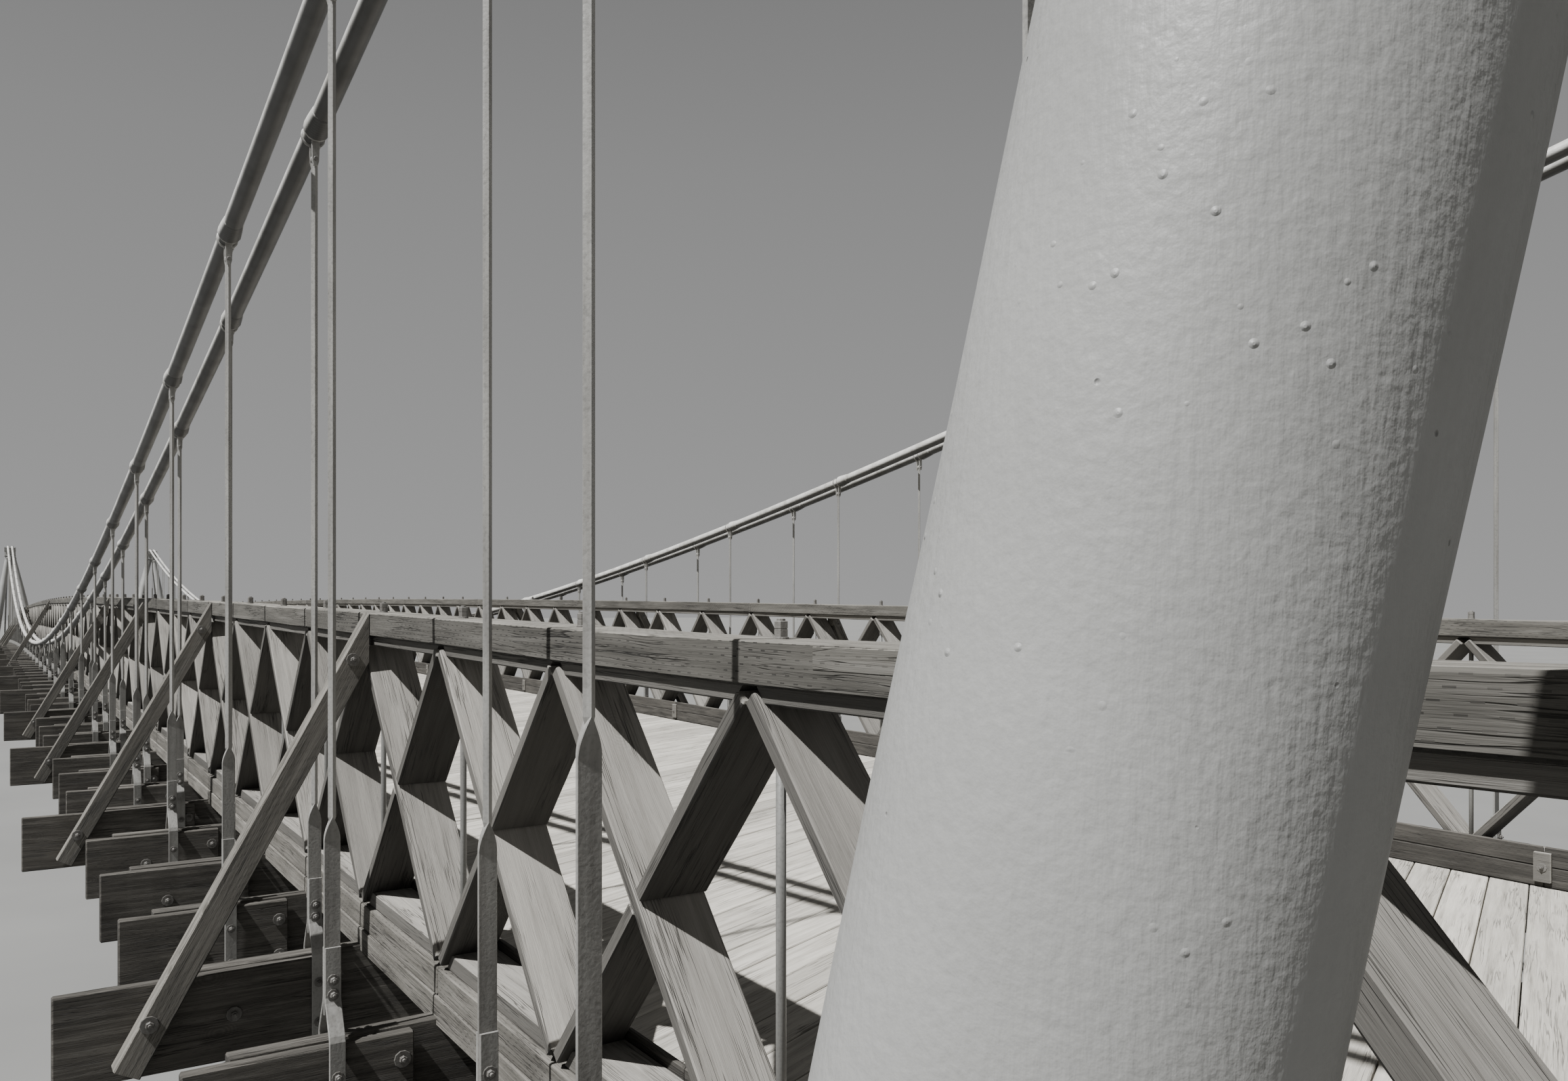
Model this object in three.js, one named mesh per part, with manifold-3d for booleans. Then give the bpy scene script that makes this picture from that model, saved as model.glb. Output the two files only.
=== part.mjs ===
// Suspension footbridge, a scale model at 1:10 of a bridge with a main span of 73.9 m.
// Millimetres of the model. X runs along the bridge, Y across it, Z up. The origin is on the ground under mid-span.
// The deck hangs from two pairs of wire cables. Each pair passes over a tower of four splayed cast-iron legs and is
// anchored in a masonry block. Floor beams carry the planking and two timber trusses that serve as railings.
import * as THREE from 'three';
import { mergeVertices } from 'three/addons/utils/BufferGeometryUtils.js';
import Module from 'manifold-3d';

const wasm = await Module();
wasm.setup();

// Driving dimensions
const BAY = 112;                  // spacing of the floor beams and of the truss panels
const BAYS = 66;                  // bays between the two end floor beams
const GAP = 0.3;                  // clearance between pieces that touch
const MID = BAYS / 2;

const DECK_RISE = 40;             // camber of the deck at mid-span
const END_LIFT = 6;               // the floor turns up towards the towers by this much
const END_BAYS = 3;               // the number of bays over which it does so
const BEAM_TOP_AT_END = 158;      // top of the first floor beam above the ground
const BEAM_DEPTH = 40;
const BEAM_THICKNESS = 14;
const SHORT_BEAM_REACH = 392;     // from the centre line to the end of an ordinary floor beam
const LONG_BEAM_REACH = 425;      // every fourth beam is longer and carries a knee brace
const LONG_BEAM_EVERY = 4;
const FIRST_LONG_BEAM = 5;

const TRUSS_OUTER = 301.5;        // outer face of a truss from the centre line
const CHORD_WIDTH = 22;
const BOTTOM_CHORD_LOW = -3;      // the bottom chord is notched over the floor beams
const BOTTOM_CHORD_HIGH = 19;
const TRUSS_HEIGHT = 156.5;       // from the top of a floor beam to the top of the top chord
const TOP_CHORD_HEIGHT = 10.5;
const WEB_PLANK = 4.4;            // thickness of a web plank
const CHORD_OVERHANG = 14;        // how far the chords run on past the end floor beams

const DECK_THICKNESS = 5;
const NOTCH = 46;                 // opening in the planking round a tower leg

const BRACE_WIDTH = 11;
const BRACE_THICKNESS = 10;
const BRACE_FOOT_REACH = 404;
const BRACE_FOOT_DROP = 32;       // how far the foot reaches below the top of its beam

const CABLE_RADIUS = 4.7;
const CABLE_SIDES = 6;
const OUTER_CABLE_Y = 340.6;
const INNER_CABLE_Y = 321.9;
const CABLE_LOW = 237;            // cable axis at mid-span
const CABLE_TOP = 661;            // cable axis over the tower
const BACKSTAY_SLOPE = 0.46;

const ROD = 3;                    // width of the square hanger rod
const STRAP_WIDTH = 6.8;
const STRAP_THICKNESS = 2.4;
const OUTER_STRAP_TOP = 78;       // top of the flat strap above its floor beam
const INNER_STRAP_TOP = 64;
const LONG_STRAP_STEP = 29;       // the straps grow by this much a bay towards the towers
const LONG_STRAPS = 4;            // the number of hangers at a tower that do so
const FIRST_STRAP_TOP = 285;      // the hanger next to a tower is flat nearly up to its cable

const TOWER_X = MID * BAY + 9;    // the tower line, just outside the end floor beams
const TOWER_Y = (OUTER_CABLE_Y + INNER_CABLE_Y) / 2;
const LEG_SPREAD_X = 0.157;       // lean of an outer leg along the bridge, as run over rise
const LEG_SPREAD_X_IN = 0.135;    // lean of an inner leg along the bridge
const LEG_SPREAD_OUT = 0.132;     // lean of an outer leg away from the roadway
const LEG_SPREAD_IN = 0.192;      // lean of an inner leg, which has to clear the truss
const LEG_TOP_RADIUS = 10;
const LEG_BELT_RADIUS = 17.4;
const LEG_FOOT_RADIUS = 18.4;
const LEG_SIDES = 14;
const FLANGE_RADIUS = 29;
const FLANGE_HEIGHT = 7;
const LEG_BELT = 380;
const LEG_TOP = 604;
const LEG_FOCUS = 680;            // height at which the axes of a tower's legs would meet
const CROWN_HALF_X = 24;
const CROWN_HALF_Y = 26;
const CROWN_PLATE = 7;

const PIER_HEIGHT = 101;          // the masonry under the legs of a tower
const PIER_HALF_LENGTH = 128;
const PIER_INNER = 183;           // inner and outer faces of a pier from the centre line
const PIER_OUTER = 446;
const WALL_BACK = 3745;           // back of the wall that carries the end of the deck

const ANCHOR_HEIGHT = 75;
const ANCHOR_LENGTH = 170;
const ANCHOR_WIDTH = 110;

// Heights along the bridge
const station = k => (k - MID) * BAY;
const endLift = k => END_LIFT * Math.max(0, 1 - Math.min(k, BAYS - k) / END_BAYS) ** 2;
const camber = k => DECK_RISE * (1 - ((k - MID) / MID) ** 2);
const beamTop = k => BEAM_TOP_AT_END - END_LIFT + camber(k) + endLift(k);
const isLong = k => k % LONG_BEAM_EVERY === 1 && k >= FIRST_LONG_BEAM && k <= BAYS - FIRST_LONG_BEAM;
const cableSag = (CABLE_TOP - CABLE_LOW) / TOWER_X ** 2;
const cableHeight = x => CABLE_LOW + cableSag * x * x;

// Materials
const timber = new THREE.MeshStandardMaterial({ color: 0x8a857a, roughness: 0.85, metalness: 0 });
const lightTimber = new THREE.MeshStandardMaterial({ color: 0xa8a294, roughness: 0.8, metalness: 0 });
const planking = new THREE.MeshStandardMaterial({ color: 0xbdb8ab, roughness: 0.9, metalness: 0 });
const castIron = new THREE.MeshStandardMaterial({ color: 0xa9a9a5, roughness: 0.5, metalness: 0.2 });
const paintedWire = new THREE.MeshStandardMaterial({ color: 0xd8d8d4, roughness: 0.5, metalness: 0.2 });
const masonry = new THREE.MeshStandardMaterial({ color: 0x9b978d, roughness: 0.95, metalness: 0 });

// A closed mesh as a solid that can be joined and cut
function solid(geometry) {
  const plain = geometry.clone();
  plain.deleteAttribute('normal');
  plain.deleteAttribute('uv');
  const merged = mergeVertices(plain, 1e-4);
  return new wasm.Manifold(new wasm.Mesh({
    numProp: 3,
    vertProperties: new Float32Array(merged.attributes.position.array),
    triVerts: new Uint32Array(merged.index.array),
  }));
}

// The joined solid as a geometry again
function surface(manifold) {
  const mesh = manifold.getMesh();
  const geometry = new THREE.BufferGeometry();
  geometry.setAttribute('position', new THREE.BufferAttribute(new Float32Array(mesh.vertProperties), 3));
  geometry.setIndex(new THREE.BufferAttribute(new Uint32Array(mesh.triVerts), 1));
  geometry.computeVertexNormals();
  return geometry;
}

const join = parts => surface(parts.map(solid).reduce((whole, part) => whole.add(part)));

function box(x, y, z, dx, dy, dz) {
  return new THREE.BoxGeometry(dx, dy, dz).translate(x, y, z);
}

// An outline in the XZ plane, extruded across the bridge between two values of Y
function acrossBridge(outline, yLow, yHigh, holes = []) {
  const shape = new THREE.Shape(outline.map(([x, z]) => new THREE.Vector2(x, z)));
  for (const hole of holes) {
    shape.holes.push(new THREE.Path(hole.map(([x, z]) => new THREE.Vector2(x, z))));
  }
  const geometry = new THREE.ExtrudeGeometry(shape, { depth: yHigh - yLow, bevelEnabled: false });
  return geometry.rotateX(Math.PI / 2).translate(0, yHigh, 0);
}

// An outline in the YZ plane, extruded along the bridge between two values of X
function alongBridge(outline, xLow, xHigh) {
  const shape = new THREE.Shape(outline.map(([y, z]) => new THREE.Vector2(y, z)));
  const geometry = new THREE.ExtrudeGeometry(shape, { depth: xHigh - xLow, bevelEnabled: false });
  return geometry.rotateX(Math.PI / 2).rotateZ(Math.PI / 2).translate(xLow, 0, 0);
}

// A timber that follows the camber in straight lengths, from one station to another
const STOP = 4;
function camberedTimber(from, to, low, high, yLow, yHigh) {
  const stops = [from];
  for (let k = Math.ceil(from + 0.01); k < to - 0.01; k += 1) {
    if (k % STOP === 0 || endLift(k) > 0) {
      stops.push(k);
    }
  }
  stops.push(to);
  const lower = stops.map(k => [station(k), beamTop(k) + low]);
  const upper = stops.map(k => [station(k), beamTop(k) + high]).reverse();
  return acrossBridge([...lower, ...upper], yLow, yHigh);
}

// A closed tube whose rings stand exactly at the given points
class Route extends THREE.Curve {
  constructor(points) {
    super();
    this.points = points;
  }
  getPoint(t, target = new THREE.Vector3()) {
    const along = Math.min(Math.max(t, 0), 1) * (this.points.length - 1);
    const i = Math.min(Math.floor(along), this.points.length - 2);
    return target.lerpVectors(this.points[i], this.points[i + 1], along - i);
  }
  getUtoTmapping(u) {
    return u;
  }
}

function tube(points, radius, sides) {
  const section = new THREE.Shape();
  for (let i = 0; i < sides; i += 1) {
    const angle = 2 * Math.PI * (i + 0.5) / sides;
    const x = radius * Math.cos(angle);
    const y = radius * Math.sin(angle);
    if (i === 0) {
      section.moveTo(x, y);
    } else {
      section.lineTo(x, y);
    }
  }
  const extrudePath = new Route(points);
  return new THREE.ExtrudeGeometry(section, { steps: points.length - 1, extrudePath, bevelEnabled: false });
}

const bridge = new THREE.Group();

function add(name, geometry, material) {
  const mesh = new THREE.Mesh(geometry, material);
  mesh.name = name;
  bridge.add(mesh);
}

// Floor: three lengths of floor beams joined by the bottom chords that lie on them
const SECTIONS = [[0, 22], [22, 44], [44, 66]];
const chordJoint = GAP / 2 / BAY;
const overhang = CHORD_OVERHANG / BAY;

function floorFrame(first, last) {
  const start = first === 0 ? -overhang : first - 0.5 + chordJoint;
  const end = last === BAYS ? BAYS + overhang : last - 0.5 - chordJoint;
  const parts = [];
  for (const side of [1, -1]) {
    const inner = TRUSS_OUTER - CHORD_WIDTH;
    const chord = [inner, TRUSS_OUTER].map(y => y * side).sort((a, b) => a - b);
    parts.push(camberedTimber(start, end, BOTTOM_CHORD_LOW, BOTTOM_CHORD_HIGH, ...chord));
  }
  const lastBeam = last === BAYS ? BAYS : last - 1;
  for (let k = first; k <= lastBeam; k += 1) {
    const reach = isLong(k) ? LONG_BEAM_REACH : SHORT_BEAM_REACH;
    const height = BEAM_DEPTH + 0.5;
    parts.push(box(station(k), 0, beamTop(k) - BEAM_DEPTH + height / 2, BEAM_THICKNESS, 2 * reach, height));
  }
  return join(parts);
}

SECTIONS.forEach(([first, last], i) => add(`floor_frame_${i + 1}`, floorFrame(first, last), timber));

// Planking between the trusses, with a notch for each leg that passes through it
const deckEdge = TRUSS_OUTER - CHORD_WIDTH - GAP;
const deck = solid(camberedTimber(-overhang, BAYS + overhang, 0.5 + GAP, 0.5 + GAP + DECK_THICKNESS,
  -deckEdge, deckEdge));
const notches = [];
const legDrop = LEG_FOCUS - BEAM_TOP_AT_END;
for (const way of [1, -1]) {
  for (const side of [1, -1]) {
    const x = way * (TOWER_X - LEG_SPREAD_X_IN * legDrop);
    const y = side * (TOWER_Y - LEG_SPREAD_IN * legDrop);
    notches.push(solid(box(x, y, BEAM_TOP_AT_END, NOTCH, NOTCH, 60)));
  }
}
add('deck_planking', surface(notches.reduce((left, notch) => left.subtract(notch), deck)), planking);

// Web of a truss: planks crossed in every panel, as wide as the chords. One outline holds a whole length of it.
const webLow = k => beamTop(k) + BOTTOM_CHORD_HIGH + 1.5 * GAP;
const webHigh = k => beamTop(k) + TRUSS_HEIGHT - TOP_CHORD_HEIGHT - 1.5 * GAP;

function trussWeb(first, last, side) {
  const top = [];
  const bottom = [];
  const holes = [];
  const rise = webHigh(MID) - webLow(MID);
  const tall = WEB_PLANK * Math.hypot(1, rise / BAY) / 2;   // half of a plank's height, cut plumb
  const wide = tall * BAY / rise;                           // half of its width, cut level
  const crossing = k => [station(k + 0.5), (webLow(k) + webHigh(k) + webLow(k + 1) + webHigh(k + 1)) / 4];
  for (let k = first; k < last; k += 1) {
    const [x, z] = crossing(k);
    top.push([station(k) + (k === first ? GAP / 2 : wide), webHigh(k)], [x, z + tall]);
    top.push([station(k + 1) - (k + 1 === last ? GAP / 2 : wide), webHigh(k + 1)]);
    bottom.push([station(k) + (k === first ? GAP / 2 : wide), webLow(k)], [x, z - tall]);
    bottom.push([station(k + 1) - (k + 1 === last ? GAP / 2 : wide), webLow(k + 1)]);
    if (k > first) {
      const [before, zBefore] = crossing(k - 1);
      holes.push([[station(k), webLow(k) + tall], [before + wide, zBefore],
        [station(k), webHigh(k) - tall], [x - wide, z]]);
    }
  }
  // The first and last planks are cut plumb at the joint with the next length
  top[0][0] += wide;
  bottom[0][0] += wide;
  top.at(-1)[0] -= wide;
  bottom.at(-1)[0] -= wide;
  const [xFirst, zFirst] = crossing(first);
  const [xLast, zLast] = crossing(last - 1);
  const left = station(first) + GAP / 2;
  const right = station(last) - GAP / 2;
  const outline = [
    ...bottom,
    [right, webLow(last)], [right, webLow(last) + tall],
    [xLast + wide, zLast],
    [right, webHigh(last) - tall], [right, webHigh(last)],
    ...top.reverse(),
    [left, webHigh(first)], [left, webHigh(first) - tall],
    [xFirst - wide, zFirst],
    [left, webLow(first) + tall], [left, webLow(first)],
  ];
  const faces = [TRUSS_OUTER - CHORD_WIDTH, TRUSS_OUTER].map(y => y * side).sort((a, b) => a - b);
  return acrossBridge(outline, ...faces, holes);
}

// Knee braces: from the faces of the long floor beams up to the top chords
const braceSlope = (TRUSS_HEIGHT + BRACE_FOOT_DROP) / (BRACE_FOOT_REACH - TRUSS_OUTER - GAP);

// A brace slants through the planes of the cables, so the beams where a cable would meet it have none
function meetsCable(k) {
  const room = (CABLE_RADIUS + 1) * Math.hypot(1, braceSlope);
  return [OUTER_CABLE_Y, INNER_CABLE_Y].some(y => {
    const braceTop = beamTop(k) + TRUSS_HEIGHT - braceSlope * (y - TRUSS_OUTER);
    const braceLow = braceTop - BRACE_WIDTH * Math.hypot(1, braceSlope);
    const cable = cableHeight(station(k));
    return cable < braceTop + room && cable > braceLow - room;
  });
}

// The brace is let half a millimetre into the top chord and passes in front of the web planks and the floor beam
function kneeBrace(k, side) {
  const foot = BRACE_FOOT_REACH * side;
  const head = (TRUSS_OUTER + GAP) * side;
  const seat = (TRUSS_OUTER - 0.5) * side;
  const low = beamTop(k) - BRACE_FOOT_DROP;
  const high = beamTop(k) + TRUSS_HEIGHT - 0.2;
  const under = high - TOP_CHORD_HEIGHT + 0.6;
  const drop = BRACE_WIDTH * Math.hypot(1, braceSlope);
  const across = BRACE_WIDTH / Math.hypot(1, braceSlope);
  const outline = [[foot, low], [head, high], [seat, high], [seat, under], [head, under], [head, high - drop],
    [foot - side * across * braceSlope, low - across]];
  const near = station(k) - BEAM_THICKNESS / 2 - GAP - BRACE_THICKNESS;
  return alongBridge(side > 0 ? outline : outline.reverse(), near, near + BRACE_THICKNESS);
}

for (const [name, side] of [['left', 1], ['right', -1]]) {
  SECTIONS.forEach(([first, last], i) => {
    add(`truss_${name}_web_${i + 1}`, trussWeb(first, last, side), lightTimber);
  });
  const faces = [TRUSS_OUTER - CHORD_WIDTH, TRUSS_OUTER].map(y => y * side).sort((a, b) => a - b);
  const under = TRUSS_HEIGHT - TOP_CHORD_HEIGHT;
  const parts = [camberedTimber(-overhang, BAYS + overhang, under, TRUSS_HEIGHT, ...faces)];
  for (let k = 0; k <= BAYS; k += 1) {
    if (isLong(k) && !meetsCable(k)) {
      parts.push(kneeBrace(k, side));
    }
  }
  add(`truss_${name}_top_chord`, join(parts), timber);
}

// Cables: down from the saddle to the anchor block at each end, and hung in a parabola between the towers
const SADDLE_HALF = 30;
const anchorFaceX = TOWER_X + (CABLE_TOP - ANCHOR_HEIGHT * 0.62) / BACKSTAY_SLOPE;
const backstayHeight = x => CABLE_TOP - (x - TOWER_X) * BACKSTAY_SLOPE;

function cableRoute(y) {
  const half = [];
  for (let k = 0; k < MID; k += 3) {
    half.push([k * BAY, cableHeight(k * BAY)]);
  }
  half.push([TOWER_X - SADDLE_HALF, cableHeight(TOWER_X - SADDLE_HALF)]);
  half.push([TOWER_X, CABLE_TOP - 1]);
  half.push([TOWER_X + SADDLE_HALF, backstayHeight(TOWER_X + SADDLE_HALF)]);
  half.push([anchorFaceX, backstayHeight(anchorFaceX)]);
  const other = half.slice(1).reverse().map(([x, z]) => [-x, z]);
  return [...other, ...half].map(([x, z]) => new THREE.Vector3(x, y, z));
}

// The cable between two of its points is straight, so a hanger's top is found on that line
function onRoute(route, x) {
  const i = route.findIndex((point, j) => j > 0 && point.x >= x);
  const [a, b] = [route[i - 1], route[i]];
  return a.z + (b.z - a.z) * (x - a.x) / (b.x - a.x);
}

function strapTop(k, base) {
  const fromTower = Math.min(k, BAYS - k);
  if (fromTower === 1) return beamTop(k) + FIRST_STRAP_TOP;
  return beamTop(k) + base + LONG_STRAP_STEP * Math.max(0, LONG_STRAPS - fromTower);
}

// A rod that hangs from the cable and widens to a strap, which stands on its floor beam
function hanger(k, y, route, base) {
  const x = station(k);
  const top = onRoute(route, x) - CABLE_RADIUS / 3;
  const strap = Math.min(strapTop(k, base), top - 12);
  const seat = beamTop(k) + 0.5 + GAP;
  const wide = STRAP_WIDTH / 2;
  const narrow = ROD / 2;
  const outline = [[y - wide, seat], [y + wide, seat], [y + wide, strap], [y + narrow, strap],
    [y + narrow, top], [y - narrow, top], [y - narrow, strap], [y - wide, strap]];
  return alongBridge(outline, x - STRAP_THICKNESS / 2, x + STRAP_THICKNESS / 2);
}

for (const [name, side] of [['left', 1], ['right', -1]]) {
  for (const [place, offset, odd, base] of [
    ['outer', OUTER_CABLE_Y, 0, OUTER_STRAP_TOP],
    ['inner', INNER_CABLE_Y, 1, INNER_STRAP_TOP],
  ]) {
    const y = offset * side;
    const route = cableRoute(y);
    const parts = [tube(route, CABLE_RADIUS, CABLE_SIDES)];
    for (let k = odd === 0 ? 2 : 1; k < BAYS; k += 2) {
      parts.push(hanger(k, y, route, base));
    }
    add(`cable_${name}_${place}`, join(parts), paintedWire);
  }
}

// Towers: four splayed cast-iron legs under a crown with the cable saddle
function towerLeg(leanX, leanY) {
  const foot = PIER_HEIGHT + GAP;
  const profile = [
    [0, foot], [FLANGE_RADIUS, foot], [FLANGE_RADIUS, foot + FLANGE_HEIGHT], [LEG_FOOT_RADIUS, foot + FLANGE_HEIGHT],
    [LEG_BELT_RADIUS, LEG_BELT], [LEG_TOP_RADIUS, LEG_TOP], [0, LEG_TOP],
  ];
  const lathe = new THREE.LatheGeometry(profile.map(([r, z]) => new THREE.Vector2(r, z)), LEG_SIDES);
  lathe.rotateX(Math.PI / 2);
  const lean = new THREE.Matrix4().makeTranslation(0, 0, 0);
  lean.elements[8] = leanX;
  lean.elements[9] = leanY;
  lathe.translate(0, 0, -LEG_FOCUS).applyMatrix4(lean).translate(0, 0, LEG_FOCUS);
  return surface(solid(lathe));
}

// The crown: a plate on the legs, a tapering body, and a saddle arched to the slopes of the cables
function crown(toSpan) {
  const low = LEG_TOP + GAP;
  const body = [[-CROWN_HALF_X, low], [CROWN_HALF_X, low], [CROWN_HALF_X, low + CROWN_PLATE]];
  const bodyTop = CABLE_TOP - CABLE_RADIUS - 22;
  body.push([CROWN_HALF_X * 0.75, low + CROWN_PLATE], [CROWN_HALF_X * 0.75, bodyTop]);
  const seat = CABLE_TOP - 1 - CABLE_RADIUS - GAP;
  const ends = [1, -1].map(way => {
    const x = way * (SADDLE_HALF - 4);
    const onSpan = (way > 0) === (toSpan > 0);
    const far = TOWER_X + (onSpan ? -1 : 1) * SADDLE_HALF;
    const height = onSpan ? cableHeight(far) : backstayHeight(far);
    const cut = (CABLE_TOP - 1 - height) * (SADDLE_HALF - 4) / SADDLE_HALF;
    return [x, seat - cut - 0.6];
  });
  const outline = [...body, [ends[0][0], bodyTop], ends[0], [0, seat], ends[1], [ends[1][0], bodyTop],
    [-CROWN_HALF_X * 0.75, bodyTop], [-CROWN_HALF_X * 0.75, low + CROWN_PLATE], [-CROWN_HALF_X, low + CROWN_PLATE]];
  return acrossBridge(outline, -CROWN_HALF_Y, CROWN_HALF_Y);
}

for (const [end, way] of [['start', -1], ['end', 1]]) {
  for (const [name, side] of [['left', 1], ['right', -1]]) {
    const tower = new THREE.Group();
    tower.position.set(way * TOWER_X, side * TOWER_Y, 0);
    for (const [bank, turn] of [['span', way], ['bank', -way]]) {
      for (const [place, leanX, leanY] of [['outer', LEG_SPREAD_X, -side * LEG_SPREAD_OUT],
        ['inner', LEG_SPREAD_X_IN, side * LEG_SPREAD_IN]]) {
        const leg = new THREE.Mesh(towerLeg(turn * leanX, leanY), castIron);
        leg.name = `tower_${end}_${name}_leg_${bank}_${place}`;
        tower.add(leg);
      }
    }
    const head = new THREE.Mesh(crown(-way), castIron);
    head.name = `tower_${end}_${name}_crown`;
    tower.add(head);
    bridge.add(tower);
  }
}

// Abutments: a masonry pier under each tower, and between them the wall that the end floor beam bears on
for (const [end, way] of [['start', -1], ['end', 1]]) {
  const bearing = BEAM_TOP_AT_END - BEAM_DEPTH - GAP;
  const deckTop = BEAM_TOP_AT_END + 0.5 + GAP + DECK_THICKNESS;
  const front = MID * BAY - BEAM_THICKNESS;
  const upstand = MID * BAY + CHORD_OVERHANG + GAP;
  const wall = [[front, 0], [WALL_BACK, 0], [WALL_BACK, deckTop], [upstand, deckTop], [upstand, bearing],
    [front, bearing]].map(([x, z]) => [way * x, z]);
  const parts = [acrossBridge(way > 0 ? wall : wall.reverse(), -PIER_INNER - 5, PIER_INNER + 5)];
  for (const side of [1, -1]) {
    const middle = side * (PIER_INNER + PIER_OUTER) / 2;
    parts.push(box(way * TOWER_X, middle, PIER_HEIGHT / 2, 2 * PIER_HALF_LENGTH, PIER_OUTER - PIER_INNER, PIER_HEIGHT));
  }
  add(`abutment_${end}`, join(parts), masonry);
}

// Anchor blocks: the upper front edge is cut square to the backstays, which end on it
function anchorBlock(way) {
  const end = anchorFaceX + GAP * 1.2;
  const axis = backstayHeight(end);
  const lowX = end - 14 * BACKSTAY_SLOPE;
  const lowZ = axis - 14;
  const highX = end + (ANCHOR_HEIGHT - axis) * BACKSTAY_SLOPE;
  const outline = [[lowX, 0], [lowX + ANCHOR_LENGTH, 0], [lowX + ANCHOR_LENGTH, ANCHOR_HEIGHT], [highX, ANCHOR_HEIGHT],
    [lowX, lowZ]].map(([x, z]) => [way * x, z]);
  return way > 0 ? outline : outline.reverse();
}

for (const [end, way] of [['start', -1], ['end', 1]]) {
  for (const [name, side] of [['left', 1], ['right', -1]]) {
    const middle = side * TOWER_Y;
    add(`anchor_block_${end}_${name}`,
      acrossBridge(anchorBlock(way), middle - ANCHOR_WIDTH / 2, middle + ANCHOR_WIDTH / 2), masonry);
  }
}

export default bridge;
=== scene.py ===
# %% [markdown]
# # A suspension footbridge at 1:10
# The frame holds the bridge as plain solids. This lesson dresses them: every plank, rod, strap, bolt and
# casting is worked out from a few real sizes. All lengths are metres of the model, so ten millimetres here
# are a hundred in the real bridge.

# %% Load the frame
import functools
import math
import bpy
import numpy as np
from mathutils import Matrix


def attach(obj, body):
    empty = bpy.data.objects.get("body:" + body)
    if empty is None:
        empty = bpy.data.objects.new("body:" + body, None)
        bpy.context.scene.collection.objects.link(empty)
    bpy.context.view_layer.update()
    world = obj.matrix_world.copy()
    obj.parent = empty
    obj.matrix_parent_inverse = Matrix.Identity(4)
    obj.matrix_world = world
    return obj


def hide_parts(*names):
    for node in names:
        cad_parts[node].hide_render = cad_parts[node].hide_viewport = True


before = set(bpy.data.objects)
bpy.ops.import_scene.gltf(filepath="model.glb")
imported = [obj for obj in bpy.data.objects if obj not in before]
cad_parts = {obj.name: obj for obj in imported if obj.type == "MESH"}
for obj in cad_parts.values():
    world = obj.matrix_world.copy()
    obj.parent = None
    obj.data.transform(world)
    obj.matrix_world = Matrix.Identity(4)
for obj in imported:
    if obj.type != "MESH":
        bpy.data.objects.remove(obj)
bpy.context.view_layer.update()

MM = 0.001

# %% [markdown]
# ## The bridge's own numbers
# The floor beams stand one bay apart. Their tops follow a shallow parabola, the camber, and turn up a
# little over the last three bays at each end, as they do in the photo. The cables follow a second parabola,
# steeper and the other way up. Both are plain functions of the place along the bridge, so every piece can
# ask for its height.

# %% Heights along the bridge
BAY = 112 * MM
BAYS = 66
MID = BAYS / 2
THIRDS = ((0, 22), (22, 44), (44, 66))
BEAM_DEPTH, BEAM_HALF = 40 * MM, 7 * MM
BEAM_LOW, CAMBER, END_RISE, END_BAYS = 152 * MM, 40 * MM, 6 * MM, 3
CABLE_RADIUS = 4.7 * MM
CABLE_LOW, CABLE_TOP = 237 * MM, 661 * MM
BACKSTAY_SLOPE = 0.46
TOWER_X, TOWER_Y = 3.705, 331.25 * MM
SIDES = {"left": 1, "right": -1}
ENDS = {"start": -1, "end": 1}


def station(k):
    """The place along the bridge of floor beam k: k bays from the first one, counted from mid-span."""
    return (np.asarray(k, float) - MID) * BAY


def beam_top(k):
    """The top of floor beam k: a parabola 40 mm high from 152 mm, and a rise of 6 mm over the three end bays.

    The end rise grows with the square of the distance gone into those bays.
    """
    k = np.asarray(k, float)
    end = np.maximum(0, 1 - np.minimum(k, BAYS - k) / END_BAYS)
    return BEAM_LOW + CAMBER * (1 - ((k - MID) / MID) ** 2) + END_RISE * end ** 2


def cable_height(x):
    """The cable's axis: 237 mm at mid-span, rising with the square of the distance to 661 mm at a tower."""
    return CABLE_LOW + (CABLE_TOP - CABLE_LOW) * (np.asarray(x, float) / TOWER_X) ** 2


def cable_slope(x):
    """How steeply the cable's axis rises at x: the derivative of its parabola."""
    return 2 * (CABLE_TOP - CABLE_LOW) / TOWER_X ** 2 * x


print("beam tops from", round(float(beam_top(1)), 4), "to", round(float(beam_top(MID)), 4))
print("steepest cable:", round(math.degrees(math.atan(cable_slope(TOWER_X))), 1), "degrees")

# %% [markdown]
# ## Long beams and knee braces
# Every fourth beam runs further out and carries a knee brace up to the top chord. Near the towers the
# cables pass just there, so a brace is left off where a cable would go through it.

# %% Which beams are long and which are braced
TRUSS_OUTER, TRUSS_HEIGHT = 301.5 * MM, 156.5 * MM
BRACE_FOOT, BRACE_HEAD, BRACE_DROP = 404 * MM, 301.8 * MM, 32 * MM
BRACE_DEPTH, BRACE_HALF = 11 * MM, 5 * MM
BRACE_SLOPE = (TRUSS_HEIGHT + BRACE_DROP) / (BRACE_FOOT - BRACE_HEAD)
CABLE_ROOM = 5.7 * MM
# Each cable: its place across the bridge, whether it holds the odd beams, and the least height of its straps.
CABLES = {"outer": (340.6 * MM, 0, 78 * MM), "inner": (321.9 * MM, 1, 64 * MM)}


def is_long(k):
    """Every fourth beam from the second is long, but none of the four next to an end."""
    return k % 4 == 1 and 5 <= k <= BAYS - 5


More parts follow.
